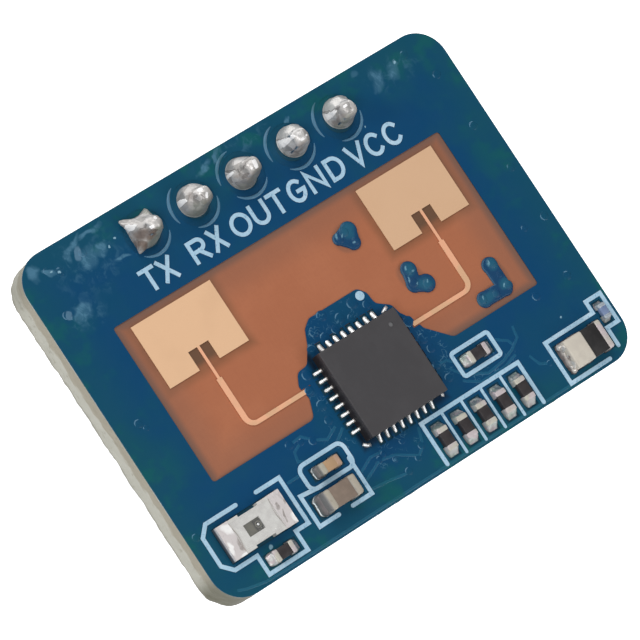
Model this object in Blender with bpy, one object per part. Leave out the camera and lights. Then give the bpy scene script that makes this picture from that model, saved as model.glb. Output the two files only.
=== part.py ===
"""Microwave radar sensor module: a small board with two patch antennas, a radar chip, its
chip components and a pin header soldered in from the back.

Metres, +Z up. X runs along the pin row and Y points from the components to that row. The
origin is on the middle pin's axis, in the plane of the header plastic's underside, which
is what lands on the socket or board that the module plugs into.
"""

import math
from dataclasses import dataclass

import bmesh
import bpy
from mathutils import Vector

MM = 0.001

# Board
BOARD_LENGTH = 22.0 * MM
BOARD_WIDTH = 16.0 * MM
BOARD_THICKNESS = 1.6 * MM
BOARD_CORNER_RADIUS = 1.4 * MM
MASK_THICKNESS = 0.03 * MM
COPPER_THICKNESS = 0.035 * MM
INK_THICKNESS = 0.02 * MM

# Fits
SEAT_GAP = 0.01 * MM
MASK_CLEARANCE = 0.05 * MM
HOLE_CLEARANCE = 0.06 * MM
PIN_FIT = 0.01 * MM
CUTTER_REACH = 1.0 * MM

# Pin header and its joints
PIN_NAMES = ("tx", "rx", "out", "gnd", "vcc")
PIN_PITCH = 2.54 * MM
PIN_SIDE = 0.64 * MM
PIN_BELOW_PLASTIC = 6.0 * MM
PIN_ABOVE_BOARD = 1.4 * MM
PIN_TIP_SIDE = 0.36 * MM
PIN_TIP_LENGTH = 0.4 * MM
PIN_ROW_INSET = 1.5 * MM
PLASTIC_HEIGHT = 2.54 * MM
PLASTIC_WIDTH = 2.5 * MM
PLASTIC_NOTCH = 0.4 * MM
LAND_RADIUS = 0.92 * MM
JOINT_RADIUS = 0.77 * MM
JOINT_BULGE_HEIGHT = 0.22 * MM
JOINT_HEIGHT = 0.9 * MM
JOINT_COLLAR_WALL = 0.05 * MM

# Antennas, measured from the board's centre
ANTENNA_SPACING = 11.8 * MM
PATCH_WIDTH = 4.07 * MM
PATCH_HEIGHT = 2.89 * MM
PATCH_CENTRE_Y = 2.1 * MM
NOTCH_WIDTH = 1.04 * MM
NOTCH_DEPTH = 0.86 * MM
FEED_THIN_WIDTH = 0.125 * MM
FEED_WIDE_WIDTH = 0.26 * MM
FEED_RUN_WIDTH = 0.19 * MM
FEED_STEP_Y = 0.0 * MM
FEED_RUN_Y = -2.29 * MM
FEED_BEND_RADIUS = 0.4 * MM
FEED_END_X = 2.72 * MM

# Window in the front mask, round the antennas; its feet are measured from the board's centre
WINDOW_SIDE_MARGIN = 0.665 * MM
WINDOW_TOP_MARGIN = 0.335 * MM
WINDOW_LEFT_FOOT_Y = -3.4 * MM
WINDOW_RIGHT_FOOT_Y = -3.6 * MM
WINDOW_CORNER_RADIUS = 0.12 * MM
APRON_CORNER_RADIUS = 0.3 * MM

# Radar chip
CHIP_CENTRE_X = 0.02 * MM
CHIP_CENTRE_Y = -3.3 * MM
CHIP_SIDE = 4.0 * MM
CHIP_HEIGHT = 0.8 * MM
CHIP_STANDOFF = 0.06 * MM
CHIP_EDGE_RADIUS = 0.04 * MM
CHIP_LAND_COUNT = 8
CHIP_LAND_PITCH = 0.4 * MM
CHIP_LAND_WIDTH = 0.2 * MM
CHIP_LAND_TOE = 0.38 * MM
CHIP_LAND_HEEL = 0.3 * MM
CHIP_LAND_RISE = 0.2 * MM
CHIP_PAD_SIDE = 2.6 * MM
CHIP_MARK_RADIUS = 0.14 * MM
CHIP_MARK_INSET = 0.55 * MM
CHIP_MARK_DEPTH = 0.03 * MM
TERMINAL_SHOULDER_HEIGHT = 0.6
TERMINAL_SHOULDER_WIDTH = 0.4

# Status LED
LED_CENTRE_X = -8.2 * MM
LED_CENTRE_Y = -5.74 * MM
LED_LENGTH = 3.2 * MM
LED_WIDTH = 1.52 * MM
LED_BASE_HEIGHT = 0.4 * MM
LED_WAIST_LENGTH = 1.0 * MM
LED_WAIST_WIDTH = 1.32 * MM
LED_POCKET_LENGTH = 0.8 * MM
LED_POCKET_WIDTH = 0.54 * MM
LED_POCKET_DEPTH = 0.16 * MM
LED_POCKET_OFFSET = -0.13 * MM
LED_DIE_SIDE = 0.28 * MM
LED_DIE_HEIGHT = 0.1 * MM
LED_DIE_OFFSET = 0.1 * MM
LED_LENS_LENGTH = 2.0 * MM
LED_LENS_WIDTH = 1.28 * MM
LED_LENS_HEIGHT = 0.45 * MM
LED_LENS_DRAFT = 0.06 * MM

# Chip components, measured from the board's centre
BANK_COUNT = 5
BANK_PITCH = 1.05 * MM
BANK_CENTRE_X = 3.15 * MM
BANK_CENTRE_Y = -6.91 * MM
LED_RESISTOR_X = -7.76 * MM
LED_RESISTOR_Y = -7.2 * MM
SINGLE_RESISTOR_X = 4.37 * MM
SINGLE_RESISTOR_Y = -4.68 * MM
SMALL_CAPACITOR_X = -4.08 * MM
SMALL_CAPACITOR_Y = -5.28 * MM
LARGE_CAPACITOR_X = -4.4 * MM
LARGE_CAPACITOR_Y = -6.49 * MM
DIODE_X = 8.77 * MM
DIODE_Y = -6.8 * MM
TINY_CAPACITOR_X = 10.37 * MM
TINY_CAPACITOR_Y = -5.99 * MM
END_PROUD = 0.02 * MM
END_STEP = 0.01 * MM
END_ROUNDING = 0.12
FILLET_TOE_WIDTH = 0.86
FILLET_TOP_WIDTH = 0.98

# Silkscreen
INK_STROKE = 0.18 * MM
INK_STROKE_FINE = 0.13 * MM
INK_DOT_RADIUS = 0.2 * MM
INK_DOT_X = 1.39 * MM
INK_DOT_Y = -0.17 * MM
LED_INK_CHAMFER = 0.42 * MM
LED_INK_LEFT_END = -0.15 * MM
LED_INK_RIGHT_END = 0.9 * MM
SMALL_CAPACITOR_INK_RADIUS = 0.3 * MM
LARGE_CAPACITOR_INK_GAP = 0.365 * MM
LARGE_CAPACITOR_INK_JOIN = 0.35 * MM
DIODE_INK_OPENING = 0.7 * MM
RESISTOR_INK_RADIUS = 0.12 * MM

# Facets
ARC_SEGMENTS = 6
WINDOW_SEGMENTS = 3
ROUND_SEGMENTS = 24
SECTION_SEGMENTS = 1
FILLET_STEPS = 4
JOINT_STEPS = 5

# Levels, from the plane that the module plugs down onto
BOARD_BACK_Z = PLASTIC_HEIGHT + SEAT_GAP
LAMINATE_BACK_Z = BOARD_BACK_Z + MASK_THICKNESS + SEAT_GAP
LAMINATE_FRONT_Z = BOARD_BACK_Z + BOARD_THICKNESS - MASK_THICKNESS - SEAT_GAP
FRONT_Z = LAMINATE_FRONT_Z + SEAT_GAP
BOARD_FRONT_Z = FRONT_Z + MASK_THICKNESS
INK_Z = BOARD_FRONT_Z + SEAT_GAP
BOARD_CENTRE_Y = PIN_ROW_INSET - BOARD_WIDTH / 2
HOLE_RADIUS = PIN_SIDE * math.sqrt(0.5) + HOLE_CLEARANCE
MASK_HOLE_RADIUS = LAND_RADIUS + MASK_CLEARANCE

BLUE_MASK = ("solder mask", (0.012, 0.062, 0.135, 1.0), 0.28, 0.0)
LAMINATE = ("fibreglass", (0.38, 0.36, 0.28, 1.0), 0.6, 0.0)
GOLD = ("gold plating", (0.83, 0.55, 0.33, 1.0), 0.4, 1.0)
SOLDER = ("solder", (0.62, 0.6, 0.58, 1.0), 0.25, 1.0)
TIN = ("tinned end", (0.66, 0.63, 0.58, 1.0), 0.35, 1.0)
MOULDED_BLACK = ("moulded package", (0.035, 0.034, 0.037, 1.0), 0.55, 0.0)
RESISTOR_BLACK = ("resistor coating", (0.018, 0.017, 0.018, 1.0), 0.35, 0.0)
CAPACITOR_BROWN = ("brown ceramic", (0.21, 0.16, 0.12, 1.0), 0.5, 0.0)
CAPACITOR_TAN = ("tan ceramic", (0.46, 0.3, 0.2, 1.0), 0.5, 0.0)
CAPACITOR_GREY = ("grey ceramic", (0.3, 0.36, 0.46, 1.0), 0.4, 0.0)
BAND_BEIGE = ("beige band", (0.6, 0.54, 0.46, 1.0), 0.5, 0.0)
LED_WHITE = ("white substrate", (0.72, 0.7, 0.67, 1.0), 0.35, 0.0)
LED_CLEAR = ("clear epoxy", (0.85, 0.86, 0.85, 1.0), 0.1, 0.0)
LED_DIE = ("light emitting die", (0.2, 0.19, 0.15, 1.0), 0.3, 0.0)
HEADER_BLACK = ("header plastic", (0.02, 0.02, 0.021, 1.0), 0.45, 0.0)
INK_WHITE = ("silkscreen ink", (0.5, 0.62, 0.75, 1.0), 0.6, 0.0)


@dataclass(frozen=True)
class Package:
    """Sizes of a chip component: its block, its two metal ends and their solder."""

    length: float
    width: float
    height: float
    left_end: float
    right_end: float
    toe: float
    rise: float


@dataclass(frozen=True)
class Placement:
    """Where a chip component sits on the board, and what it is made of."""

    name: str
    package: Package
    x: float
    y: float
    upright: bool
    body: tuple
    end: tuple = TIN


@dataclass(frozen=True)
class Margin:
    """How far a line of ink stays off what it goes round, on each side."""

    left: float
    bottom: float
    right: float
    top: float


RESISTOR_SIZE = Package(
    length=1.02 * MM, width=0.52 * MM, height=0.35 * MM,
    left_end=0.24 * MM, right_end=0.24 * MM, toe=0.25 * MM, rise=0.26 * MM,
)
SMALL_CAPACITOR_SIZE = Package(
    length=1.02 * MM, width=0.5 * MM, height=0.5 * MM,
    left_end=0.3 * MM, right_end=0.26 * MM, toe=0.2 * MM, rise=0.3 * MM,
)
LARGE_CAPACITOR_SIZE = Package(
    length=1.65 * MM, width=0.88 * MM, height=0.8 * MM,
    left_end=0.36 * MM, right_end=0.4 * MM, toe=0.26 * MM, rise=0.45 * MM,
)
TINY_CAPACITOR_SIZE = Package(
    length=0.66 * MM, width=0.36 * MM, height=0.32 * MM,
    left_end=0.17 * MM, right_end=0.17 * MM, toe=0.13 * MM, rise=0.2 * MM,
)
DIODE_SIZE = Package(
    length=2.0 * MM, width=1.3 * MM, height=0.55 * MM,
    left_end=0.98 * MM, right_end=0.32 * MM, toe=0.2 * MM, rise=0.35 * MM,
)
LED_SIZE = Package(
    length=LED_LENGTH, width=LED_WIDTH, height=LED_BASE_HEIGHT,
    left_end=0.0, right_end=0.0, toe=0.0, rise=0.0,
)

LED = Placement("led_base", LED_SIZE, LED_CENTRE_X, LED_CENTRE_Y, False, LED_WHITE)
LED_RESISTOR = Placement(
    "led_resistor", RESISTOR_SIZE, LED_RESISTOR_X, LED_RESISTOR_Y, False, RESISTOR_BLACK
)
SINGLE_RESISTOR = Placement(
    "single_resistor", RESISTOR_SIZE, SINGLE_RESISTOR_X, SINGLE_RESISTOR_Y, False, RESISTOR_BLACK
)
SMALL_CAPACITOR = Placement(
    "small_capacitor", SMALL_CAPACITOR_SIZE, SMALL_CAPACITOR_X, SMALL_CAPACITOR_Y, False, CAPACITOR_TAN
)
LARGE_CAPACITOR = Placement(
    "large_capacitor", LARGE_CAPACITOR_SIZE, LARGE_CAPACITOR_X, LARGE_CAPACITOR_Y, False, CAPACITOR_BROWN
)
TINY_CAPACITOR = Placement(
    "tiny_capacitor", TINY_CAPACITOR_SIZE, TINY_CAPACITOR_X, TINY_CAPACITOR_Y, True, CAPACITOR_GREY
)
SUPPLY_DIODE = Placement(
    "supply_diode", DIODE_SIZE, DIODE_X, DIODE_Y, False, RESISTOR_BLACK, BAND_BEIGE
)

LED_INK = Margin(0.53 * MM, 0.27 * MM, 0.5 * MM, 0.36 * MM)
LED_RESISTOR_INK = Margin(0.49 * MM, 0.19 * MM, 0.49 * MM, 0.0)
SMALL_CAPACITOR_INK = Margin(0.62 * MM, 0.27 * MM, 0.64 * MM, 0.33 * MM)
LARGE_CAPACITOR_INK = Margin(0.54 * MM, 0.21 * MM, 0.55 * MM, 0.0)
BANK_INK = Margin(0.265 * MM, 0.38 * MM, 0.265 * MM, 0.53 * MM)
DIODE_INK = Margin(0.45 * MM, 0.33 * MM, 0.38 * MM, 0.33 * MM)
TINY_CAPACITOR_INK = Margin(0.22 * MM, 0.33 * MM, 0.22 * MM, 0.38 * MM)
RESISTOR_INK = Margin(0.48 * MM, 0.28 * MM, 0.48 * MM, 0.29 * MM)

# Vias that each island of mask covers, in millimetres: place from the right antenna's centre
# along X and from the board's centre along Y, and the island's reach round the via
ISLAND_VIAS = {
    "mask_island_top": ((-3.89, 2.23, 0.27), (-3.28, 2.34, 0.38), (-3.39, 1.82, 0.34)),
    "mask_island_middle": ((-1.97, -0.32, 0.37), (-2.11, -0.93, 0.37), (-1.61, -1.16, 0.4)),
    "mask_island_bottom": ((1.28, -1.93, 0.38), (1.3, -3.02, 0.36), (0.22, -2.99, 0.36)),
}
ISLANDS_FILLED = ("mask_island_top",)
ISLAND_WAIST_SHARE = 0.92

# Edge of the mask round the chip, in millimetres from the chip's centre, from the window's
# left foot over the top to its right foot
APRON_EDGE = (
    (-3.37, -0.1), (-3.04, 0.7), (-3.17, 1.3), (-2.87, 1.82), (-2.32, 1.88),
    (-1.82, 2.55), (-1.52, 3.15), (-1.12, 3.44), (1.43, 3.44), (1.72, 3.1),
    (1.78, 2.55), (2.36, 2.15), (2.48, 1.7), (2.83, 1.2), (3.03, 0.65), (3.98, -0.3),
)


def on_board(x, y):
    """A point given from the board's centre, in the part's frame."""
    return Vector((x, y + BOARD_CENTRE_Y))


def box_corners(left, bottom, right, top):
    """Four corners of an upright rectangle, anticlockwise."""
    return [Vector(point) for point in ((left, bottom), (right, bottom), (right, top), (left, top))]


def circle(centre, radius, segments=ROUND_SEGMENTS):
    """Points of a circle, anticlockwise."""
    steps = [2 * math.pi * i / segments for i in range(segments)]
    return [centre + radius * Vector((math.cos(a), math.sin(a))) for a in steps]


def rounded(corners, radii, segments=ARC_SEGMENTS):
    """A closed outline with every corner turned into an arc, as far as its sides allow."""
    outline = []
    for i, corner in enumerate(corners):
        back = corners[i - 1] - corner
        ahead = corners[(i + 1) % len(corners)] - corner
        half = back.angle(ahead) / 2
        if math.pi / 2 - half < 0.01:
            outline.append(corner)
            continue
        reach = min(radii[i] / math.tan(half), 0.45 * back.length, 0.45 * ahead.length)
        start = corner + back.normalized() * reach
        end = corner + ahead.normalized() * reach
        centre = corner + (back.normalized() + ahead.normalized()).normalized() * reach / math.cos(half)
        first = start - centre
        sweep = first.angle_signed(end - centre)
        for step in range(segments + 1):
            turn = -sweep * step / segments
            cos, sin = math.cos(turn), math.sin(turn)
            outline.append(centre + Vector((first.x * cos - first.y * sin, first.x * sin + first.y * cos)))
    return outline


def stroke(path, width):
    """The outline of a line drawn along a path, with square corners and round ends."""
    half = width / 2
    side = []
    for i, point in enumerate(path):
        into = (point - path[i - 1]).normalized() if i else (path[1] - point).normalized()
        out = (path[i + 1] - point).normalized() if i + 1 < len(path) else into
        normal = Vector((-into.y - out.y, into.x + out.x)).normalized()
        side.append(normal * half / max(normal.dot(Vector((-into.y, into.x))), 0.3))
    left = [point + shift for point, shift in zip(path, side)]
    right = [point - shift for point, shift in zip(path, side)]
    return left + cap(path[-1], -side[-1], half) + right[::-1] + cap(path[0], side[0], half)


def cap(centre, target, half):
    """Points of the half circle that ends a stroke, up to but without its two ends."""
    final = math.atan2(target.y, target.x)
    turns = [final + math.pi * (1 - i / ARC_SEGMENTS) for i in range(1, ARC_SEGMENTS)]
    return [centre + half * Vector((math.cos(a), math.sin(a))) for a in turns]


def prism(bm, outline, low, high):
    """Adds an outline extruded between two levels."""
    face = bm.faces.new([bm.verts.new((*point, low)) for point in outline])
    raised = bmesh.ops.extrude_face_region(bm, geom=[face])["geom"]
    lifted = [item for item in raised if isinstance(item, bmesh.types.BMVert)]
    bmesh.ops.translate(bm, vec=(0, 0, high - low), verts=lifted)
    bmesh.ops.recalc_face_normals(bm, faces=bm.faces)


def loft(bm, rings):
    """Joins rings of equally many points by walls and closes both ends."""
    rows = [[bm.verts.new(point) for point in ring] for ring in rings]
    for row, following in zip(rows, rows[1:]):
        for i in range(len(row)):
            bm.faces.new((row[i - 1], row[i], following[i], following[i - 1]))
    bm.faces.new(rows[0])
    bm.faces.new(rows[-1])
    bmesh.ops.recalc_face_normals(bm, faces=bm.faces)


def principled(finish):
    """The material of a finish: a name, a base colour, a roughness and a metallic value."""
    name, colour, roughness, metallic = finish
    if name in bpy.data.materials:
        return bpy.data.materials[name]
    material = bpy.data.materials.new(name)
    material.use_nodes = True
    material.diffuse_color = colour
    shader = material.node_tree.nodes["Principled BSDF"]
    shader.inputs["Base Color"].default_value = colour
    shader.inputs["Roughness"].default_value = roughness
    shader.inputs["Metallic"].default_value = metallic
    return material


def finish_object(name, bm, *finishes):
    """Turns a bmesh into a named object that wears these finishes."""
    mesh = bpy.data.meshes.new(name)
    bm.to_mesh(mesh)
    bm.free()
    for finish in finishes:
        mesh.materials.append(principled(finish))
    built = bpy.data.objects.new(name, mesh)
    bpy.context.scene.collection.objects.link(built)
    return built


def tool_of(bm, target, operation):
    """Applies a bmesh to an object as a Boolean tool that stays out of renders."""
    tool = finish_object(f"{target.name}_{operation.lower()}_tool", bm)
    tool.hide_render = True
    tool.display_type = "WIRE"
    boolean = target.modifiers.new(operation.title(), "BOOLEAN")
    boolean.operation = operation
    boolean.solver = "EXACT"
    boolean.object = tool


def shade_round(built, angle=math.radians(35)):
    """Shades an object smooth with its edges over this angle kept sharp."""
    built.data.shade_smooth()
    built.data.set_sharp_from_angle(angle=angle)


def pin_positions():
    """Name and place of each pin, centred on the origin."""
    middle = (len(PIN_NAMES) - 1) / 2
    return [(name, Vector(((i - middle) * PIN_PITCH, 0.0))) for i, name in enumerate(PIN_NAMES)]


def board_outline():
    """The board's outline, with its corners rounded."""
    half_length = BOARD_LENGTH / 2
    half_width = BOARD_WIDTH / 2
    corners = [on_board(*point) for point in box_corners(-half_length, -half_width, half_length, half_width)]
    return rounded(corners, [BOARD_CORNER_RADIUS] * 4, 2 * ARC_SEGMENTS)


def make_board():
    """The laminate with its five pin holes."""
    bm = bmesh.new()
    prism(bm, board_outline(), LAMINATE_BACK_Z, LAMINATE_FRONT_Z)
    board = finish_object("circuit_board", bm, LAMINATE)
    holes = bmesh.new()
    for _, place in pin_positions():
        low = LAMINATE_BACK_Z - CUTTER_REACH
        high = LAMINATE_FRONT_Z + CUTTER_REACH
        prism(holes, circle(place, HOLE_RADIUS), low, high)
    tool_of(holes, board, "DIFFERENCE")


def window_outline():
    """The bare window in the mask: a rectangle that the chip's apron rises into from below."""
    half = (ANTENNA_SPACING + PATCH_WIDTH) / 2 + WINDOW_SIDE_MARGIN
    top = PATCH_CENTRE_Y + PATCH_HEIGHT / 2 + WINDOW_TOP_MARGIN
    corners = [(half, WINDOW_RIGHT_FOOT_Y), (half, top), (-half, top), (-half, WINDOW_LEFT_FOOT_Y)]
    radii = [WINDOW_CORNER_RADIUS] * len(corners) + [APRON_CORNER_RADIUS] * len(APRON_EDGE)
    corners += [(CHIP_CENTRE_X + x * MM, CHIP_CENTRE_Y + y * MM) for x, y in APRON_EDGE]
    return rounded([on_board(*corner) for corner in corners], radii, WINDOW_SEGMENTS)


def cut_feed_slots(openings, low, high):
    """Slots that bare each feed line where it runs on into the apron."""
    half_width = FEED_RUN_WIDTH / 2 + MASK_CLEARANCE
    for side in (-1, 1):
        inner = side * (FEED_END_X - MASK_CLEARANCE)
        outer = side * (FEED_END_X + CUTTER_REACH)
        left, right = min(inner, outer), max(inner, outer)
        corners = box_corners(left, FEED_RUN_Y - half_width, right, FEED_RUN_Y + half_width)
        prism(openings, [on_board(*corner) for corner in corners], low, high)


def cut_land(openings, land, low, high):
    """Cuts one opening, as large as the land and its clearance."""
    left, bottom, right, top = land
    corners = box_corners(
        left - MASK_CLEARANCE, bottom - MASK_CLEARANCE, right + MASK_CLEARANCE, top + MASK_CLEARANCE
    )
    prism(openings, corners, low, high)


def make_front_mask(lands):
    """The blue film on the front, open over the antennas, the pin holes and every land."""
    bm = bmesh.new()
    prism(bm, board_outline(), FRONT_Z, BOARD_FRONT_Z)
    mask = finish_object("front_solder_mask", bm, BLUE_MASK)
    low = FRONT_Z - CUTTER_REACH
    high = BOARD_FRONT_Z + CUTTER_REACH
    openings = bmesh.new()
    prism(openings, window_outline(), low, high)
    for _, place in pin_positions():
        prism(openings, circle(place, MASK_HOLE_RADIUS), low, high)
    for land in lands:
        cut_land(openings, land, low, high)
    tool_of(openings, mask, "DIFFERENCE")
    slots = bmesh.new()
    cut_feed_slots(slots, low, high)
    tool_of(slots, mask, "DIFFERENCE")


def make_back_mask():
    """The blue film on the back, open round the pins."""
    bm = bmesh.new()
    prism(bm, board_outline(), BOARD_BACK_Z, BOARD_BACK_Z + MASK_THICKNESS)
    mask = finish_object("back_solder_mask", bm, BLUE_MASK)
    holes = bmesh.new()
    for _, place in pin_positions():
        low = BOARD_BACK_Z - CUTTER_REACH
        high = BOARD_BACK_Z + MASK_THICKNESS + CUTTER_REACH
        prism(holes, circle(place, MASK_HOLE_RADIUS), low, high)
    tool_of(holes, mask, "DIFFERENCE")


def antenna_outline():
    """The right antenna: its patch, its inset notch and its stepped, bent feed line."""
    centre = ANTENNA_SPACING / 2
    top = PATCH_CENTRE_Y + PATCH_HEIGHT / 2
    bottom = PATCH_CENTRE_Y - PATCH_HEIGHT / 2
    half = PATCH_WIDTH / 2
    notch = NOTCH_WIDTH / 2
    thin = FEED_THIN_WIDTH / 2
    wide = FEED_WIDE_WIDTH / 2
    run = FEED_RUN_WIDTH / 2
    bend_y = FEED_RUN_Y + FEED_BEND_RADIUS
    bend_x = centre - FEED_BEND_RADIUS
    outer_bend = []
    inner_bend = []
    for step in range(ARC_SEGMENTS + 1):
        turn = math.pi / 2 * step / ARC_SEGMENTS
        taper = wide + (run - wide) * step / ARC_SEGMENTS
        direction = Vector((math.cos(turn), -math.sin(turn)))
        outer_bend.append(Vector((bend_x, bend_y)) + direction * (FEED_BEND_RADIUS + taper))
        inner_bend.append(Vector((bend_x, bend_y)) + direction * (FEED_BEND_RADIUS - taper))
    inset = bottom + NOTCH_DEPTH
    right_side = [
        (centre + thin, inset), (centre + notch, inset), (centre + notch, bottom),
        (centre + half, bottom), (centre + half, top),
    ]
    left_side = [
        (centre - half, top), (centre - half, bottom), (centre - notch, bottom),
        (centre - notch, inset), (centre - thin, inset),
    ]
    down = [(centre - thin, FEED_STEP_Y), (centre - wide, FEED_STEP_Y)]
    end = [(FEED_END_X, FEED_RUN_Y + run), (FEED_END_X, FEED_RUN_Y - run)]
    up = [(centre + wide, FEED_STEP_Y), (centre + thin, FEED_STEP_Y)]
    return right_side + left_side + down + inner_bend + end + outer_bend[::-1] + up


def make_antennas():
    """Both patch antennas, mirror images of each other."""
    for name, side in (("antenna_left", -1), ("antenna_right", 1)):
        bm = bmesh.new()
        outline = [on_board(side * x, y) for x, y in antenna_outline()]
        prism(bm, outline, FRONT_Z, FRONT_Z + COPPER_THICKNESS)
        finish_object(name, bm, GOLD)


def waist(first, second):
    """Outline of the mask between two vias, a little narrower than its lobes round them."""
    (start, start_reach), (end, end_reach) = first, second
    along = (end - start).normalized()
    across = Vector((-along.y, along.x)) * ISLAND_WAIST_SHARE
    return [start - across * start_reach, end - across * end_reach, end + across * end_reach,
            start + across * start_reach]


def make_mask_islands():
    """Islands of mask inside the window, each lobed round the vias that it covers.

    A filled island also joins its last via to its first.
    """
    for name, vias in ISLAND_VIAS.items():
        lobes = [(on_board(ANTENNA_SPACING / 2 + x * MM, y * MM), reach * MM) for x, y, reach in vias]
        outlines = [circle(centre, reach) for centre, reach in lobes]
        following = lobes[1:] + (lobes[:1] if name in ISLANDS_FILLED else [])
        outlines += [waist(first, second) for first, second in zip(lobes, following)]
        island = None
        for outline in outlines:
            bm = bmesh.new()
            prism(bm, outline, FRONT_Z, BOARD_FRONT_Z)
            if island:
                tool_of(bm, island, "UNION")
            else:
                island = finish_object(name, bm, BLUE_MASK)


def make_header():
    """The plastic strip on the back: one block for each way, parted by notches."""
    half_width = PLASTIC_WIDTH / 2
    near = []
    for _, place in pin_positions():
        left = place.x - PIN_PITCH / 2
        right = place.x + PIN_PITCH / 2
        near += [Vector((left, PLASTIC_NOTCH - half_width)), Vector((left + PLASTIC_NOTCH, -half_width))]
        near += [Vector((right - PLASTIC_NOTCH, -half_width)), Vector((right, PLASTIC_NOTCH - half_width))]
    outline = [point for i, point in enumerate(near) if i == 0 or (point - near[i - 1]).length > SEAT_GAP]
    outline += [Vector((point.x, -point.y)) for point in reversed(outline)]
    bm = bmesh.new()
    prism(bm, outline, 0.0, PLASTIC_HEIGHT)
    header = finish_object("header_plastic", bm, HEADER_BLACK)
    bores = bmesh.new()
    side = PIN_SIDE / 2 + PIN_FIT
    for _, place in pin_positions():
        corners = [place + corner for corner in box_corners(-side, -side, side, side)]
        prism(bores, corners, -CUTTER_REACH, PLASTIC_HEIGHT + CUTTER_REACH)
    tool_of(bores, header, "DIFFERENCE")


def square_ring(place, side, z):
    """The corners of a level square round a place."""
    half = side / 2
    return [(*(place + corner), z) for corner in box_corners(-half, -half, half, half)]


def make_pins():
    """The header's square pins, tapered at both ends."""
    top = BOARD_FRONT_Z + PIN_ABOVE_BOARD
    for name, place in pin_positions():
        bm = bmesh.new()
        rings = [
            square_ring(place, PIN_TIP_SIDE, -PIN_BELOW_PLASTIC),
            square_ring(place, PIN_SIDE, -PIN_BELOW_PLASTIC + PIN_TIP_LENGTH),
            square_ring(place, PIN_SIDE, top - PIN_TIP_LENGTH),
            square_ring(place, PIN_TIP_SIDE, top),
        ]
        loft(bm, rings)
        finish_object(f"header_pin_{name}", bm, GOLD)


def joint_profile():
    """Radius and height of a solder joint, from its land to where it meets the pin."""
    collar = PIN_SIDE * math.sqrt(0.5) + PIN_FIT + JOINT_COLLAR_WALL
    shoulder = math.acos(min(collar / JOINT_RADIUS, 1.0))
    dome = JOINT_HEIGHT - JOINT_BULGE_HEIGHT
    profile = [(LAND_RADIUS, 0.0), (LAND_RADIUS, COPPER_THICKNESS)]
    for step in range(-1, JOINT_STEPS + 1):
        turn = shoulder * step / JOINT_STEPS
        lift = JOINT_BULGE_HEIGHT if step < 0 else dome
        height = JOINT_BULGE_HEIGHT + lift * math.sin(turn) / math.sin(shoulder)
        profile.append((JOINT_RADIUS * math.cos(turn), height))
    return profile


def make_solder_joints():
    """The round joint on each pin, standing on its land with the pin's tip through it."""
    for name, place in pin_positions():
        bm = bmesh.new()
        rings = [
            [(*point, FRONT_Z + height) for point in circle(place, radius)]
            for radius, height in joint_profile()
        ]
        loft(bm, rings)
        joint = finish_object(f"solder_joint_{name}", bm, SOLDER)
        bore = bmesh.new()
        side = PIN_SIDE / 2 + PIN_FIT
        corners = [place + corner for corner in box_corners(-side, -side, side, side)]
        prism(bore, corners, FRONT_Z - CUTTER_REACH, FRONT_Z + JOINT_HEIGHT + CUTTER_REACH)
        tool_of(bore, joint, "DIFFERENCE")
        shade_round(joint)


def chip_sides():
    """Outward direction and along-side direction of the chip's four sides."""
    return [(Vector(out), Vector((-out[1], out[0]))) for out in ((1, 0), (0, 1), (-1, 0), (0, -1))]


def chip_land_offsets():
    """Distance of each land from the middle of its side."""
    return [(i - (CHIP_LAND_COUNT - 1) / 2) * CHIP_LAND_PITCH for i in range(CHIP_LAND_COUNT)]


def chip_lands():
    """The chip's lands as rectangles on the board: 32 at its sides and one under it."""
    centre = on_board(CHIP_CENTRE_X, CHIP_CENTRE_Y)
    reach = CHIP_SIDE / 2
    half = CHIP_LAND_WIDTH / 2
    rectangles = []
    for out, along in chip_sides():
        for offset in chip_land_offsets():
            heel = centre + out * (reach - CHIP_LAND_HEEL) + along * (offset - half)
            toe = centre + out * (reach + CHIP_LAND_TOE) + along * (offset + half)
            low = (min(heel.x, toe.x), min(heel.y, toe.y))
            rectangles.append((*low, max(heel.x, toe.x), max(heel.y, toe.y)))
    pad = CHIP_PAD_SIDE / 2
    rectangles.append((centre.x - pad, centre.y - pad, centre.x + pad, centre.y + pad))
    return rectangles


def chip_terminals():
    """The soldered terminals at the chip's sides and the pad under it, as one bmesh."""
    centre = on_board(CHIP_CENTRE_X, CHIP_CENTRE_Y)
    reach = CHIP_SIDE / 2
    half = CHIP_LAND_WIDTH / 2
    # How far out each section lies, how high it stands, and what share of the width it has
    sections = (
        (-CHIP_LAND_HEEL, CHIP_STANDOFF + MASK_THICKNESS, 1.0),
        (CHIP_EDGE_RADIUS, CHIP_LAND_RISE, 0.9),
        (0.7 * CHIP_LAND_TOE, 0.5 * CHIP_LAND_RISE, 1.0),
        (CHIP_LAND_TOE, COPPER_THICKNESS, 0.7),
    )
    bm = bmesh.new()
    for out, along in chip_sides():
        for offset in chip_land_offsets():
            rings = []
            for distance, height, share in sections:
                foot = centre + out * (reach + distance) + along * offset
                left = foot - along * half * share
                right = foot + along * half * share
                shoulder = along * half * share * TERMINAL_SHOULDER_WIDTH
                wall = FRONT_Z + TERMINAL_SHOULDER_HEIGHT * height
                top = FRONT_Z + height
                rings.append([
                    (*left, FRONT_Z), (*right, FRONT_Z), (*right, wall),
                    (*(right - shoulder), top), (*(left + shoulder), top), (*left, wall),
                ])
            loft(bm, rings)
    pad = CHIP_PAD_SIDE / 2
    corners = [centre + corner for corner in box_corners(-pad, -pad, pad, pad)]
    prism(bm, corners, FRONT_Z, FRONT_Z + CHIP_STANDOFF + CHIP_EDGE_RADIUS)
    return bm


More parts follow.
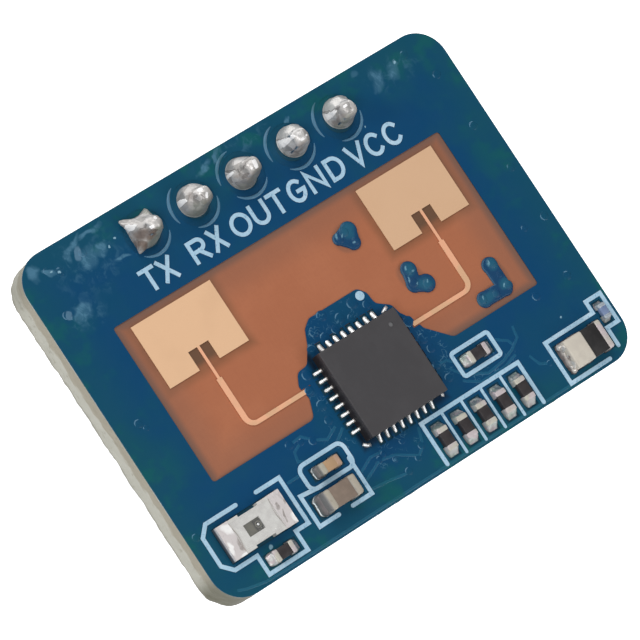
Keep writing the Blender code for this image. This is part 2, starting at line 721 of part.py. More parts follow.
def make_chip():
    """The moulded package on its soldered terminals, with its pin-one dimple."""
    centre = on_board(CHIP_CENTRE_X, CHIP_CENTRE_Y)
    half = CHIP_SIDE / 2
    low = FRONT_Z + CHIP_STANDOFF
    high = FRONT_Z + CHIP_HEIGHT
    bm = bmesh.new()
    corners = [centre + corner for corner in box_corners(-half, -half, half, half)]
    prism(bm, corners, low, high)
    edges = [edge for edge in bm.edges if max(vert.co.z for vert in edge.verts) > (low + high) / 2]
    bmesh.ops.bevel(bm, geom=edges, offset=CHIP_EDGE_RADIUS, segments=2, profile=0.5, affect="EDGES")
    chip = finish_object("radar_chip", bm, MOULDED_BLACK, SOLDER)
    tool_of(chip_terminals(), chip, "UNION")
    chip.modifiers[-1].object.data.materials.append(principled(SOLDER))
    chip.modifiers[-1].material_mode = "TRANSFER"
    dimple = bmesh.new()
    inset = half - CHIP_MARK_INSET
    place = centre + Vector((inset, inset))
    prism(dimple, circle(place, CHIP_MARK_RADIUS), high - CHIP_MARK_DEPTH, high + CUTTER_REACH)
    tool_of(dimple, chip, "DIFFERENCE")


def section(x, width, low, high, radius):
    """An upright rounded rectangle across X, as a ring of points."""
    corners = box_corners(-width / 2, low, width / 2, high)
    return [(x, y, z) for y, z in rounded(corners, [radius] * 4, SECTION_SEGMENTS)]


def end_sections(length, end, side, package):
    """Sections of one soldered end, from the solder's toe to the step down to the block."""
    radius = END_ROUNDING * package.height
    solder = COPPER_THICKNESS + END_PROUD
    sections = []
    for step in range(FILLET_STEPS + 1):
        share = step / FILLET_STEPS
        x = length / 2 + package.toe * (1 - share) + END_PROUD
        height = solder + (package.rise - solder) * (1 - math.sqrt(1 - share**2))
        width = package.width * (FILLET_TOE_WIDTH + (FILLET_TOP_WIDTH - FILLET_TOE_WIDTH) * share)
        sections.append((x, width, 0.0, height))
    sections.append((length / 2, package.width - radius, 0.0, package.height - radius / 2))
    sections.append((length / 2 - radius, package.width, 0.0, package.height))
    sections.append((length / 2 - end, package.width, 0.0, package.height))
    return [section(side * x, width, low, high, min(radius, 0.4 * high)) for x, width, low, high in sections]


def block_section(x, package):
    """The section of the block between the metal ends, which stand proud of it all round."""
    width = package.width - 2 * END_PROUD
    low = COPPER_THICKNESS + 2 * END_PROUD
    return section(x, width, low, package.height - END_PROUD, END_ROUNDING * package.height)


def make_chip_component(placement):
    """A chip component with its metal ends and the solder that holds them to the board."""
    package = placement.package
    left = end_sections(package.length, package.left_end, -1, package)
    right = end_sections(package.length, package.right_end, 1, package)
    block_left = END_STEP + package.left_end - package.length / 2
    block_right = package.length / 2 - package.right_end - END_STEP
    bm = bmesh.new()
    loft(bm, left + [block_section(block_left, package), block_section(block_right, package)] + right[::-1])
    bm.normal_update()
    for face in bm.faces:
        x = face.calc_center_median().x
        if x < -package.length / 2 or x > package.length / 2:
            face.material_index = 2
        elif x < block_left or x > block_right:
            face.material_index = 1
    component = finish_object(placement.name, bm, placement.body, placement.end, SOLDER)
    component.location = (*on_board(placement.x, placement.y), FRONT_Z)
    component.rotation_euler.z = math.pi / 2 if placement.upright else 0.0
    shade_round(component)


def component_lands(placement):
    """The two lands under a chip component, as rectangles on the board."""
    package = placement.package
    outer = package.length / 2 + package.toe + END_PROUD
    half = package.width / 2
    rectangles = []
    for side, end in ((-1, package.left_end), (1, package.right_end)):
        ends = sorted((side * outer, side * (package.length / 2 - end)))
        low, high = (ends[0], -half), (ends[1], half)
        if placement.upright:
            low, high = (low[1], low[0]), (high[1], high[0])
        rectangles.append((*on_board(placement.x + low[0], placement.y + low[1]),
                           *on_board(placement.x + high[0], placement.y + high[1])))
    return rectangles


def bank_placements():
    """The row of equal resistors below the chip."""
    first = BANK_CENTRE_X - BANK_PITCH * (BANK_COUNT - 1) / 2
    return [
        Placement(f"bank_resistor_{i + 1}", RESISTOR_SIZE, first + i * BANK_PITCH, BANK_CENTRE_Y,
                  True, RESISTOR_BLACK)
        for i in range(BANK_COUNT)
    ]


def led_outline():
    """The LED's substrate from above: two plated ends and a narrower waist."""
    length = LED_LENGTH / 2
    width = LED_WIDTH / 2
    waist = LED_WAIST_LENGTH / 2
    waist_width = LED_WAIST_WIDTH / 2
    lower = [
        (-length, -width), (-waist, -width), (-waist, -waist_width),
        (waist, -waist_width), (waist, -width), (length, -width),
    ]
    upper = [(x, -y) for x, y in reversed(lower)]
    centre = on_board(LED_CENTRE_X, LED_CENTRE_Y)
    return [centre + Vector(point) for point in lower + upper]


def make_led():
    """The status LED: substrate, die in its pocket, and clear lens."""
    centre = on_board(LED_CENTRE_X, LED_CENTRE_Y)
    top = FRONT_Z + LED_BASE_HEIGHT
    bm = bmesh.new()
    prism(bm, led_outline(), FRONT_Z, top)
    base = finish_object("led_base", bm, LED_WHITE)
    pocket = bmesh.new()
    half = Vector((LED_POCKET_LENGTH / 2, LED_POCKET_WIDTH / 2))
    shift = centre + Vector((LED_POCKET_OFFSET, 0.0))
    corners = [shift + corner for corner in box_corners(-half.x, -half.y, half.x, half.y)]
    prism(pocket, corners, top - LED_POCKET_DEPTH, top + CUTTER_REACH)
    tool_of(pocket, base, "DIFFERENCE")

    die = bmesh.new()
    side = LED_DIE_SIDE / 2
    seat = top - LED_POCKET_DEPTH + SEAT_GAP
    die_place = shift + Vector((LED_DIE_OFFSET, 0.0))
    corners = [die_place + corner for corner in box_corners(-side, -side, side, side)]
    prism(die, corners, seat, seat + LED_DIE_HEIGHT)
    finish_object("led_die", die, LED_DIE)

    lens = bmesh.new()
    rings = []
    for inset, level in ((0.0, 0.0), (LED_LENS_DRAFT, LED_LENS_HEIGHT)):
        half = Vector((LED_LENS_LENGTH / 2 - inset, LED_LENS_WIDTH / 2 - inset))
        corners = [centre + corner for corner in box_corners(-half.x, -half.y, half.x, half.y)]
        outline = rounded(corners, [LED_LENS_DRAFT] * 4, WINDOW_SEGMENTS)
        rings.append([(*point, top + SEAT_GAP + level) for point in outline])
    loft(lens, rings)
    finish_object("led_lens", lens, LED_CLEAR)


def led_lands():
    """The one opening in the mask that the LED's substrate stands in."""
    centre = on_board(LED_CENTRE_X, LED_CENTRE_Y)
    half = Vector((LED_LENGTH / 2, LED_WIDTH / 2))
    return [(*(centre - half), *(centre + half))]


def ink_object(name, path, width=INK_STROKE):
    """A line of silkscreen ink along a path given from the board's centre."""
    bm = bmesh.new()
    prism(bm, stroke([on_board(*point) for point in path], width), INK_Z, INK_Z + INK_THICKNESS)
    return finish_object(name, bm, INK_WHITE)


def ink_branch(target, path, width=INK_STROKE):
    """Another stroke of ink, joined to an outline."""
    bm = bmesh.new()
    prism(bm, stroke([on_board(*point) for point in path], width), INK_Z, INK_Z + INK_THICKNESS)
    tool_of(bm, target, "UNION")


def ink_frame(name, left, bottom, right, top, radius):
    """A closed frame of ink whose centre line is the given rectangle."""
    half = INK_STROKE / 2
    corners = box_corners(left - half, bottom - half, right + half, top + half)
    outer = rounded([on_board(*point) for point in corners], [radius + half] * 4)
    corners = box_corners(left + half, bottom + half, right - half, top - half)
    inner = rounded([on_board(*point) for point in corners], [radius - half] * 4)
    bm = bmesh.new()
    prism(bm, outer, INK_Z, INK_Z + INK_THICKNESS)
    frame = finish_object(name, bm, INK_WHITE)
    inside = bmesh.new()
    prism(inside, inner, INK_Z - CUTTER_REACH, INK_Z + CUTTER_REACH)
    tool_of(inside, frame, "DIFFERENCE")
    return frame


def around(placement, margin):
    """Left, bottom, right and top of the line that goes round a component at this margin."""
    reach = Vector((placement.package.length / 2, placement.package.width / 2))
    if placement.upright:
        reach = reach.yx
    return (
        placement.x - reach.x - margin.left, placement.y - reach.y - margin.bottom,
        placement.x + reach.x + margin.right, placement.y + reach.y + margin.top,
    )


def make_led_ink():
    """The outline round the LED and its resistor, open above the lens."""
    left, bottom, right, top = around(LED, LED_INK)
    box_left, foot, box_right, _ = around(LED_RESISTOR, LED_RESISTOR_INK)
    ink_object("ink_led_outline", [
        (LED.x + LED_INK_LEFT_END, top), (left + LED_INK_CHAMFER, top), (left, top - LED_INK_CHAMFER),
        (left, bottom + LED_INK_CHAMFER), (left + LED_INK_CHAMFER, bottom), (box_left, bottom),
        (box_left, foot), (box_right, foot), (box_right, bottom), (right, bottom), (right, top),
        (LED.x + LED_INK_RIGHT_END, top),
    ])


def make_capacitor_ink():
    """The frame round the small capacitor, with the large one's bracket joined under it."""
    frame_left, frame_bottom, frame_right, frame_top = around(SMALL_CAPACITOR, SMALL_CAPACITOR_INK)
    sides = (frame_left, frame_bottom, frame_right, frame_top)
    frame = ink_frame("ink_capacitor_outline", *sides, SMALL_CAPACITOR_INK_RADIUS)
    left, foot, right, _ = around(LARGE_CAPACITOR, LARGE_CAPACITOR_INK)
    middle = LARGE_CAPACITOR.x
    ink_branch(frame, [
        (middle - LARGE_CAPACITOR_INK_GAP, foot), (left, foot), (left, frame_bottom + INK_STROKE / 2),
        (frame_left + LARGE_CAPACITOR_INK_JOIN, frame_bottom),
    ])
    ink_branch(frame, [
        (middle + LARGE_CAPACITOR_INK_GAP, foot), (right, foot),
        (right, frame_bottom + LARGE_CAPACITOR_INK_JOIN),
    ])


def make_bank_ink():
    """The comb of ink round the bank of resistors, one tooth between each two."""
    placements = bank_placements()
    left, foot, _, top = around(placements[0], BANK_INK)
    _, _, right, _ = around(placements[-1], BANK_INK)
    comb = ink_object("ink_bank_outline", [(left, foot), (left, top), (right, top), (right, foot)])
    for placement in placements[1:]:
        tooth = placement.x - BANK_PITCH / 2
        ink_branch(comb, [(tooth, top), (tooth, foot)], INK_STROKE_FINE)


def make_diode_ink():
    """The outline round the supply diode, which runs on round the tiny capacitor."""
    left, bottom, right, top = around(SUPPLY_DIODE, DIODE_INK)
    tiny_left, tiny_bottom, tiny_right, tiny_top = around(TINY_CAPACITOR, TINY_CAPACITOR_INK)
    ink_object("ink_diode_outline", [
        (SUPPLY_DIODE.x + DIODE_INK_OPENING, bottom), (left, bottom), (left, top), (tiny_left, top),
        (tiny_left, tiny_top), (tiny_right, tiny_top), (tiny_right, tiny_bottom), (right, tiny_bottom),
        (right, SUPPLY_DIODE.y - DIODE_INK_OPENING),
    ])


def make_resistor_ink():
    """The closed frame round the single resistor."""
    ink_frame("ink_resistor_outline", *around(SINGLE_RESISTOR, RESISTOR_INK), RESISTOR_INK_RADIUS)


def make_pin_one_dot():
    """The dot of ink that marks the chip's first pin."""
    bm = bmesh.new()
    prism(bm, circle(on_board(INK_DOT_X, INK_DOT_Y), INK_DOT_RADIUS), INK_Z, INK_Z + INK_THICKNESS)
    finish_object("ink_pin_one_dot", bm, INK_WHITE)


def clear_scene():
    """Empties the scene."""
    for stale in list(bpy.data.objects):
        bpy.data.objects.remove(stale, do_unlink=True)


def main():
    """Builds the module."""
    clear_scene()
    placements = [LED_RESISTOR, SINGLE_RESISTOR, SMALL_CAPACITOR, LARGE_CAPACITOR, TINY_CAPACITOR,
                  SUPPLY_DIODE, *bank_placements()]
    lands = chip_lands() + led_lands()
    for placement in placements:
        lands += component_lands(placement)
    make_board()
    make_front_mask(lands)
    make_back_mask()
    make_antennas()
    make_mask_islands()
    make_header()
    make_pins()
    make_solder_joints()
    make_chip()
    make_led()
    for placement in placements:
        make_chip_component(placement)
    make_led_ink()
    make_capacitor_ink()
    make_bank_ink()
    make_diode_ink()
    make_resistor_ink()
    make_pin_one_dot()


main()
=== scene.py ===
"""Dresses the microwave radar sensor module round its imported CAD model.

The scene is in metres, in the CAD's frame. The sub-assemblies think in millimetres: X along the
pin row, Y from the components towards that row, Z up, with the origin on the middle pin.
"""

import functools
import logging
import math
from dataclasses import dataclass, field
from enum import Enum
from typing import Any, Callable, Iterable, Sequence

import bmesh
import bpy
from mathutils import Matrix, Vector
from mathutils.noise import noise


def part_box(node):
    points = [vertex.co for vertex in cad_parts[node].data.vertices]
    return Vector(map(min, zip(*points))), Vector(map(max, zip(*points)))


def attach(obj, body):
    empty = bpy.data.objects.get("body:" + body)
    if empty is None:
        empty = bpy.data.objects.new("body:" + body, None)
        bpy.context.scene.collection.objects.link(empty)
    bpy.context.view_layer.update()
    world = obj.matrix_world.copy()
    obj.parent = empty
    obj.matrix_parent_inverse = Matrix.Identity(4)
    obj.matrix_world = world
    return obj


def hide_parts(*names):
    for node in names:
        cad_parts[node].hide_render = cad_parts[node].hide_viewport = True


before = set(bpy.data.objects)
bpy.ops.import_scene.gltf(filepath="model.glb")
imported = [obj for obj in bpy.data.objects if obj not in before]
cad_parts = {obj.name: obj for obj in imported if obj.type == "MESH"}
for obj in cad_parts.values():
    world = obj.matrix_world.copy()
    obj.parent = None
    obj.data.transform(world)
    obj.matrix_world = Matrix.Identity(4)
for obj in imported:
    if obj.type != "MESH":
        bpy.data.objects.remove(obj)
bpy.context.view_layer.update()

LOG = logging.getLogger("radar_module")
Rgb = tuple[float, float, float]
Point = tuple[float, ...]
Ovals = tuple[tuple[float, float, float, float, float], ...]

MM = 0.001
BODY = "root"
# Levels: the lands and the bare laminate, the blue film's top, the print's underside, the pins' tips.
LAND_Z = 4.12
MASK_Z = 4.15
INK_Z = 4.16
FLOOR_Z = -6.0
# The board's centre, counted from the pin row.
BOARD_Y = -6.5


@dataclass(eq=False)
class Output:
    """A node's output, with the graph that it belongs to."""

    graph: "Graph"
    socket: bpy.types.NodeSocket


class Value(Output):
    """A number in a material's nodes. Python's operators on it add the Math nodes they name."""

    def math(self, operation: str, *terms: Any) -> "Value":
        """Adds a Math node.

        Args:
            operation: The node's operation.
            terms: Its inputs in order, numbers or values.

        Returns:
            The node's result.
        """
        made = self.graph.node("ShaderNodeMath", {"operation": operation}, dict(enumerate(terms)))
        return Value(self.graph, made.outputs[0])

    def __add__(self, other: Any) -> "Value":
        """Sum."""
        return self.math("ADD", self, other)

    def __radd__(self, other: Any) -> "Value":
        """Sum, reflected."""
        return self.math("ADD", other, self)

    def __sub__(self, other: Any) -> "Value":
        """Difference."""
        return self.math("SUBTRACT", self, other)

    def __rsub__(self, other: Any) -> "Value":
        """Difference, reflected."""
        return self.math("SUBTRACT", other, self)

    def __mul__(self, other: Any) -> "Value":
        """Product."""
        return self.math("MULTIPLY", self, other)

    def __rmul__(self, other: Any) -> "Value":
        """Product, reflected."""
        return self.math("MULTIPLY", other, self)

    def __truediv__(self, other: Any) -> "Value":
        """Quotient."""
        return self.math("DIVIDE", self, other)

    def __rtruediv__(self, other: Any) -> "Value":
        """Quotient, reflected."""
        return self.math("DIVIDE", other, self)

    def __pow__(self, other: Any) -> "Value":
        """Power."""
        return self.math("POWER", self, other)

    def __neg__(self) -> "Value":
        """Opposite."""
        return self.math("MULTIPLY", self, -1.0)

    def __abs__(self) -> "Value":
        """Size without its sign."""
        return self.math("ABSOLUTE", self)

    def most(self, other: Any) -> "Value":
        """The larger of two."""
        return self.math("MAXIMUM", self, other)

    def least(self, other: Any) -> "Value":
        """The smaller of two."""
        return self.math("MINIMUM", self, other)

    def ramp(self, start: float, end: float) -> "Value":
        """A smooth step.

        Args:
            start: Where the step leaves 0. It may be larger than end.
            end: Where the step reaches 1.

        Returns:
            The stepped value, between 0 and 1.
        """
        settings = {"interpolation_type": "SMOOTHSTEP"}
        made = self.graph.node("ShaderNodeMapRange", settings, {0: self, 1: start, 2: end, 3: 0.0, 4: 1.0})
        return Value(self.graph, made.outputs[0])


class Place(Output):
    """A vector in a material's nodes, with Vector Math behind its operator."""

    def __mul__(self, other: Any) -> "Place":
        """Product, axis by axis."""
        made = self.graph.node("ShaderNodeVectorMath", {"operation": "MULTIPLY"}, {0: self, 1: other})
        return Place(self.graph, made.outputs[0])

    __rmul__ = __mul__

    def axis(self, index: int) -> Value:
        """One of its three numbers."""
        made = self.graph.node("ShaderNodeSeparateXYZ", {}, {0: self})
        return Value(self.graph, made.outputs[index])


class Colour(Output):
    """A colour in a material's nodes."""

    def mix(self, other: Any, share: Any) -> "Colour":
        """Lays another colour over this one with a Mix node.

        Args:
            other: The other colour.
            share: How much of it, from 0 to 1.

        Returns:
            The mixed colour.
        """
        made = self.graph.node("ShaderNodeMix", {"data_type": "RGBA"}, {0: share, 6: self, 7: other})
        return Colour(self.graph, made.outputs[2])


class Graph:
    """The node tree of one material."""

    def __init__(self, name: str) -> None:
        """Starts an empty material.

        Args:
            name: The material's name.
        """
        self.material = bpy.data.materials.new(name)
        self.material.use_nodes = True
        self.tree = self.material.node_tree
        self.tree.nodes.clear()

    def node(self, kind: str, settings: dict[str, Any], inputs: dict[Any, Any]) -> bpy.types.Node:
        """Adds a node.

        Args:
            kind: The node's type.
            settings: Its properties, which are set first.
            inputs: Values or links of its sockets, by name or number.

        Returns:
            The node.
        """
        made = self.tree.nodes.new(kind)
        for name, setting in settings.items():
            setattr(made, name, setting)
        for key, given in inputs.items():
            socket = made.inputs[key]
            if isinstance(given, Output):
                self.tree.links.new(given.socket, socket)
            elif isinstance(given, bpy.types.NodeSocket):
                self.tree.links.new(given, socket)
            elif socket.type == "RGBA" and len(given) == 3:
                socket.default_value = (*given, 1.0)
            else:
                socket.default_value = given
        return made

    @functools.cached_property
    def place(self) -> Place:
        """Where a surface point is, in millimetres in the CAD's frame."""
        made = self.node("ShaderNodeTexCoord", {}, {})
        return Place(self, made.outputs["Object"]) * (1 / MM, 1 / MM, 1 / MM)

    @functools.cached_property
    def x(self) -> Value:
        """How far along the pin row a point is."""
        return self.place.axis(0)

    @functools.cached_property
    def y(self) -> Value:
        """How far a point is towards the pin row."""
        return self.place.axis(1)

    @functools.cached_property
    def z(self) -> Value:
        """How high a point is."""
        return self.place.axis(2)

    @functools.cached_property
    def facing(self) -> Place:
        """The surface's own direction."""
        return Place(self, self.node("ShaderNodeNewGeometry", {}, {}).outputs["Normal"])

    def colour(self, rgb: Rgb) -> Colour:
        """A plain colour to start mixing from."""
        made = self.node("ShaderNodeMix", {"data_type": "RGBA"}, {0: 0.0, 6: rgb, 7: rgb})
        return Colour(self, made.outputs[2])

    def noise(self, size: float, detail: float = 3.0, rough: float = 0.55, stretch: Point = (1, 1, 1),
              twist: float = 0.0) -> Value:
        """Fractal noise.

        Args:
            size: Size of its largest features in millimetres.
            detail: How many finer layers it has.
            rough: How strong those layers are.
            stretch: Scale along each axis.
            twist: How much it is distorted.

        Returns:
            The noise, round 0.5.
        """
        inputs = {"Vector": self.place * stretch, "Scale": 1 / size, "Detail": detail, "Roughness": rough,
                  "Distortion": twist}
        return Value(self, self.node("ShaderNodeTexNoise", {}, inputs).outputs[0])

    def cells(self, size: float, output: str = "Distance") -> Value:
        """A pattern of cells of this size in millimetres: its Distance, or a random Color for each cell."""
        made = self.node("ShaderNodeTexVoronoi", {}, {"Vector": self.place, "Scale": 1 / size})
        return Value(self, made.outputs[output])

    def spots(self, ovals: Ovals, centre: float = 0.0, drift: float = 0.0, size: float = 0.3,
              power: float = 2.0) -> Value:
        """Oval spots on the board: 1 in the middle of each, falling to 0 at its rim.

        Args:
            ovals: Middle, half lengths in millimetres and turn in degrees of each.
            centre: Place along the board that the middles are counted from.
            drift: How far their rims wander, in millimetres.
            size: Size of that wandering.
            power: 2 for ovals, more for spots that are nearer to rectangles.

        Returns:
            The strongest spot's strength at each point.
        """
        x, y = self.x - centre, self.y
        if drift:
            inputs = {"Vector": self.place, "Scale": 1 / size, "Detail": 3.0}
            wander = Place(self, self.node("ShaderNodeTexNoise", {}, inputs).outputs["Color"])
            x = x + (wander.axis(0) - 0.5) * (2 * drift)
            y = y + (wander.axis(1) - 0.5) * (2 * drift)
        found = []
        for spot_x, spot_y, reach_a, reach_b, turn in ovals:
            cosine, sine = math.cos(math.radians(turn)), math.sin(math.radians(turn))
            along = ((x - spot_x) * cosine + (y - spot_y) * sine) / reach_a
            across = ((y - spot_y) * cosine - (x - spot_x) * sine) / reach_b
            found.append((abs(along) ** power + abs(across) ** power).ramp(1.0, 0.0))
        return functools.reduce(Value.most, found, x * 0.0)

    def finish(self, colour: Any, rough: Any, metallic: Any = 0.0, relief: Value | None = None,
               depth: float = 0.0, **fixed: Any) -> None:
        """Ends the material in its shader.

        Args:
            colour: Base colour.
            rough: Roughness.
            metallic: Metallic.
            relief: Height pattern for the bump, if there is one.
            depth: Height of that pattern in millimetres.
            fixed: Sockets that are the same all over, with _ for each space in their names.
        """
        inputs = {"Base Color": colour, "Roughness": rough, "Metallic": metallic}
        inputs.update({name.replace("_", " "): given for name, given in fixed.items()})
        if relief is not None:
            bumped = {"Strength": 1.0, "Distance": depth * MM, "Height": relief}
            inputs["Normal"] = self.node("ShaderNodeBump", {}, bumped).outputs[0]
        shader = self.node("ShaderNodeBsdfPrincipled", {}, inputs)
        self.node("ShaderNodeOutputMaterial", {}, {0: shader.outputs[0]})


def beyond(x: Value, y: Value, box: Point) -> Value:
    """How far points lie outside a rectangle, which is given as its middle and half sides."""
    return (abs(x - box[0]) - box[2]).most(abs(y - box[1]) - box[3])


@dataclass(frozen=True)
class Finish:
    """What a surface is made of. Each kind of finish paints its own material."""

    name: str

    def paint(self, graph: Graph) -> None:
        """Paints the material.

        Args:
            graph: The material's empty node tree.
        """
        raise NotImplementedError


@functools.cache
def material_of(finish: Finish) -> bpy.types.Material:
    """Gives the one material of a finish, painted when it is first asked for.

    Args:
        finish: The finish.

    Returns:
        Its material.
    """
    graph = Graph(finish.name)
    finish.paint(graph)
    return graph.material


@dataclass(frozen=True)
class Lacquer(Finish):
    """Blue solder mask: deep and glossy, greener over bare laminate, with pale hazy marks."""

    deep: Rgb = (0.001, 0.054, 0.142)
    green: Rgb = (0.004, 0.071, 0.112)
    haze: Rgb = (0.075, 0.20, 0.30)
    moss: Rgb = (0.004, 0.105, 0.092)
    pane_reflection: Rgb = (0.11, 0.22, 0.32)
    spark: Rgb = (0.24, 0.42, 0.52)
    shadow: Rgb = (0.003, 0.006, 0.012)
    lobe_shading: Rgb = (0.008, 0.094, 0.165)
    sheen: Rgb = (0.13, 0.31, 0.40)
    slope_shade: Rgb = (0.002, 0.018, 0.062)
    glint: Rgb = (0.17, 0.36, 0.45)
    rough: float = 0.3
    gloss: float = 0.22
    grain: float = 0.15
    depth: float = 0.012
    swell: float = 0.0
    # The chip's middle and half sides, and then the ovals of each kind of mark.
    chip: Point = (0.02, -9.8, 2.0, 2.0)
    smears: Ovals = (
        (-10.2, 0.8, 0.45, 0.36, 62), (-8.6, 0.75, 0.34, 0.2, 50), (-8.1, 1.08, 0.6, 0.2, 32),
        (-7.2, 1.13, 0.75, 0.16, 0), (-7.75, 0.25, 0.6, 0.42, 60), (-7.2, 0.35, 0.45, 0.3, 10),
        (-6.55, -0.42, 0.5, 0.12, -15), (-9.3, -1.5, 0.55, 0.4, 20), (-9.6, 0.62, 0.34, 0.16, -20),
        (-0.5, 1.2, 0.5, 0.14, 50), (-1.3, 1.05, 0.6, 0.16, 20), (8.45, 0.5, 0.5, 0.35, 60),
        (7.5, 0.35, 0.6, 0.4, 60), (6.85, 1.1, 0.3, 0.16, 20), (2.95, 0.9, 0.3, 0.12, 60),
    )
    # Boxy pale patches, painted reflections on the glossy lacquer.
    pane_reflections: Ovals = ((-8.1, 0.65, 0.36, 0.17, 60), (-9.9, -1.28, 0.22, 0.17, 60))
    sparks: Ovals = (
        (-6.77, 0.25, 0.09, 0.07, 60), (-6.37, 0.43, 0.07, 0.06, 0), (-9.22, 0.4, 0.11, 0.07, -40),
        (-9.5, 0.56, 0.08, 0.05, 0), (8.66, 0.74, 0.1, 0.08, 0), (5.87, -0.91, 0.05, 0.05, 0),
        (8.63, -11.77, 0.07, 0.06, 0), (-8.05, -13.27, 0.14, 0.11, 60),
    )
    clouds: Ovals = (
        (-7.9, 0.0, 2.1, 1.5, 0), (-9.2, -1.6, 1.2, 0.8, 0), (8.4, 0.5, 1.8, 0.9, 0),
        (0.3, 1.1, 2.4, 0.5, 0),
    )
    # Where pale squiggles are painted as glints round the chip's apron.
    highlight_squiggles: Ovals = (
        (-1.6, -6.9, 1.7, 1.0, 40), (2.95, -9.9, 0.55, 1.7, 0), (-3.0, -9.7, 0.7, 1.3, 20),
        (-0.8, -12.7, 1.6, 0.9, 0), (-3.1, -11.3, 0.9, 0.6, 0), (4.7, -11.9, 1.6, 0.7, 0),
        (0.4, -6.9, 1.3, 0.5, 0),
    )
    lobes: Ovals = (
        (2.55, -4.15, 0.5, 0.42, 60), (3.95, -6.85, 0.4, 0.3, 60), (4.2, -7.65, 0.5, 0.34, -20),
        (7.3, -8.4, 0.4, 0.3, 60), (6.2, -9.5, 0.7, 0.3, 0), (7.3, -9.4, 0.4, 0.3, 0),
    )
    glints: Ovals = (
        (1.97, -4.1, 0.2, 0.07, 62), (2.2, -4.24, 0.12, 0.05, 60), (2.5, -4.7, 0.08, 0.07, 0),
        (3.8, -6.68, 0.13, 0.06, 60), (3.66, -7.17, 0.16, 0.05, 65), (3.89, -7.46, 0.1, 0.06, 60),
        (4.33, -7.6, 0.1, 0.05, 60), (4.05, -6.95, 0.09, 0.05, 20), (7.15, -8.3, 0.14, 0.06, 60),
        (6.05, -9.4, 0.13, 0.05, 60), (7.2, -9.4, 0.1, 0.05, 60), (0.93, -6.75, 0.2, 0.08, 60),
        (1.13, -6.79, 0.1, 0.07, 0),
    )

    def paint(self, graph: Graph) -> None:
        """Paints the material.

        Args:
            graph: The material's empty node tree.
        """
        x, y = graph.x, graph.y
        patch = graph.noise(2.6, 3.0).ramp(0.42, 0.62)
        edge = (abs(x) - 8.5).ramp(0.0, 2.6).most(y.ramp(-1.0, 1.2)).most(y.ramp(-12.4, -14.2))
        colour = graph.colour(self.deep).mix(self.green, edge * 0.7 + patch * 0.3)
        colour = colour.mix(self.moss, edge * graph.noise(1.3, 3.0).ramp(0.5, 0.66) * 0.5)
        wisps = graph.noise(0.4, 4.0, 0.65, (1.0, 0.8, 1.0), 0.6)
        smear = graph.spots(self.smears, drift=0.4, size=0.8)
        cloud = graph.spots(self.clouds, drift=0.4, size=1.0)
        haze = smear * (wisps.ramp(0.38, 0.62) * 0.5 + 0.35) + cloud * wisps.ramp(0.48, 0.7) * 0.3
        colour = colour.mix(self.haze, haze.least(0.8))
        # Painted reflections: boxy pale patches.
        colour = colour.mix(self.pane_reflection, graph.spots(self.pane_reflections, drift=0.05, power=3.0).ramp(0.0, 0.9) * 0.7)
        # Pale squiggles in those places: painted glints on the lacquer.
        curls = abs(graph.noise(0.26, 1.0, 0.5, (1.0, 1.0, 1.0), 0.4) - 0.5).ramp(0.03, 0.0)
        highlight_squiggles = graph.spots(self.highlight_squiggles, drift=0.3).ramp(0.0, 0.5)
        fuss = highlight_squiggles * curls * graph.noise(0.45, 1.0).ramp(0.48, 0.6)
        specks = graph.noise(0.16, 2.0).ramp(0.74, 0.82)
        colour = colour.mix(self.haze, specks * 0.25 + fuss * 0.7)
        spark = graph.spots(self.sparks, drift=0.06, size=0.15).ramp(0.0, 0.8)
        colour = colour.mix(self.spark, spark * 0.9)
        side = (x.ramp(-1.7, -2.1) * 0.9).most(y.ramp(-11.5, -11.8) * 0.7).most(0.25)
        colour = colour.mix(self.shadow, beyond(x, y, self.chip).ramp(0.42, 0.1) * side)
        # With swell, painted light and shade on the domes: lit lobe middles, lit and shaded slopes, glints.
        if self.swell:
            slope = graph.facing.axis(1) * 0.5 - graph.facing.axis(0) * 0.85
            colour = colour.mix(self.lobe_shading, graph.spots(self.lobes, drift=0.15))
            colour = colour.mix(self.sheen, slope.ramp(0.2, 0.7) * self.swell)
            colour = colour.mix(self.slope_shade, slope.ramp(-0.1, -0.6) * self.swell)
            colour = colour.mix(self.glint, graph.spots(self.glints, drift=0.08, size=0.2) * 0.7)
        rough = self.rough + graph.noise(0.9, 3.0) * 0.16
        relief = graph.noise(0.35, 1.0, 0.5) + graph.noise(0.05, 2.0) * self.grain
        graph.finish(colour, rough, relief=relief, depth=self.depth, Specular_IOR_Level=self.gloss)


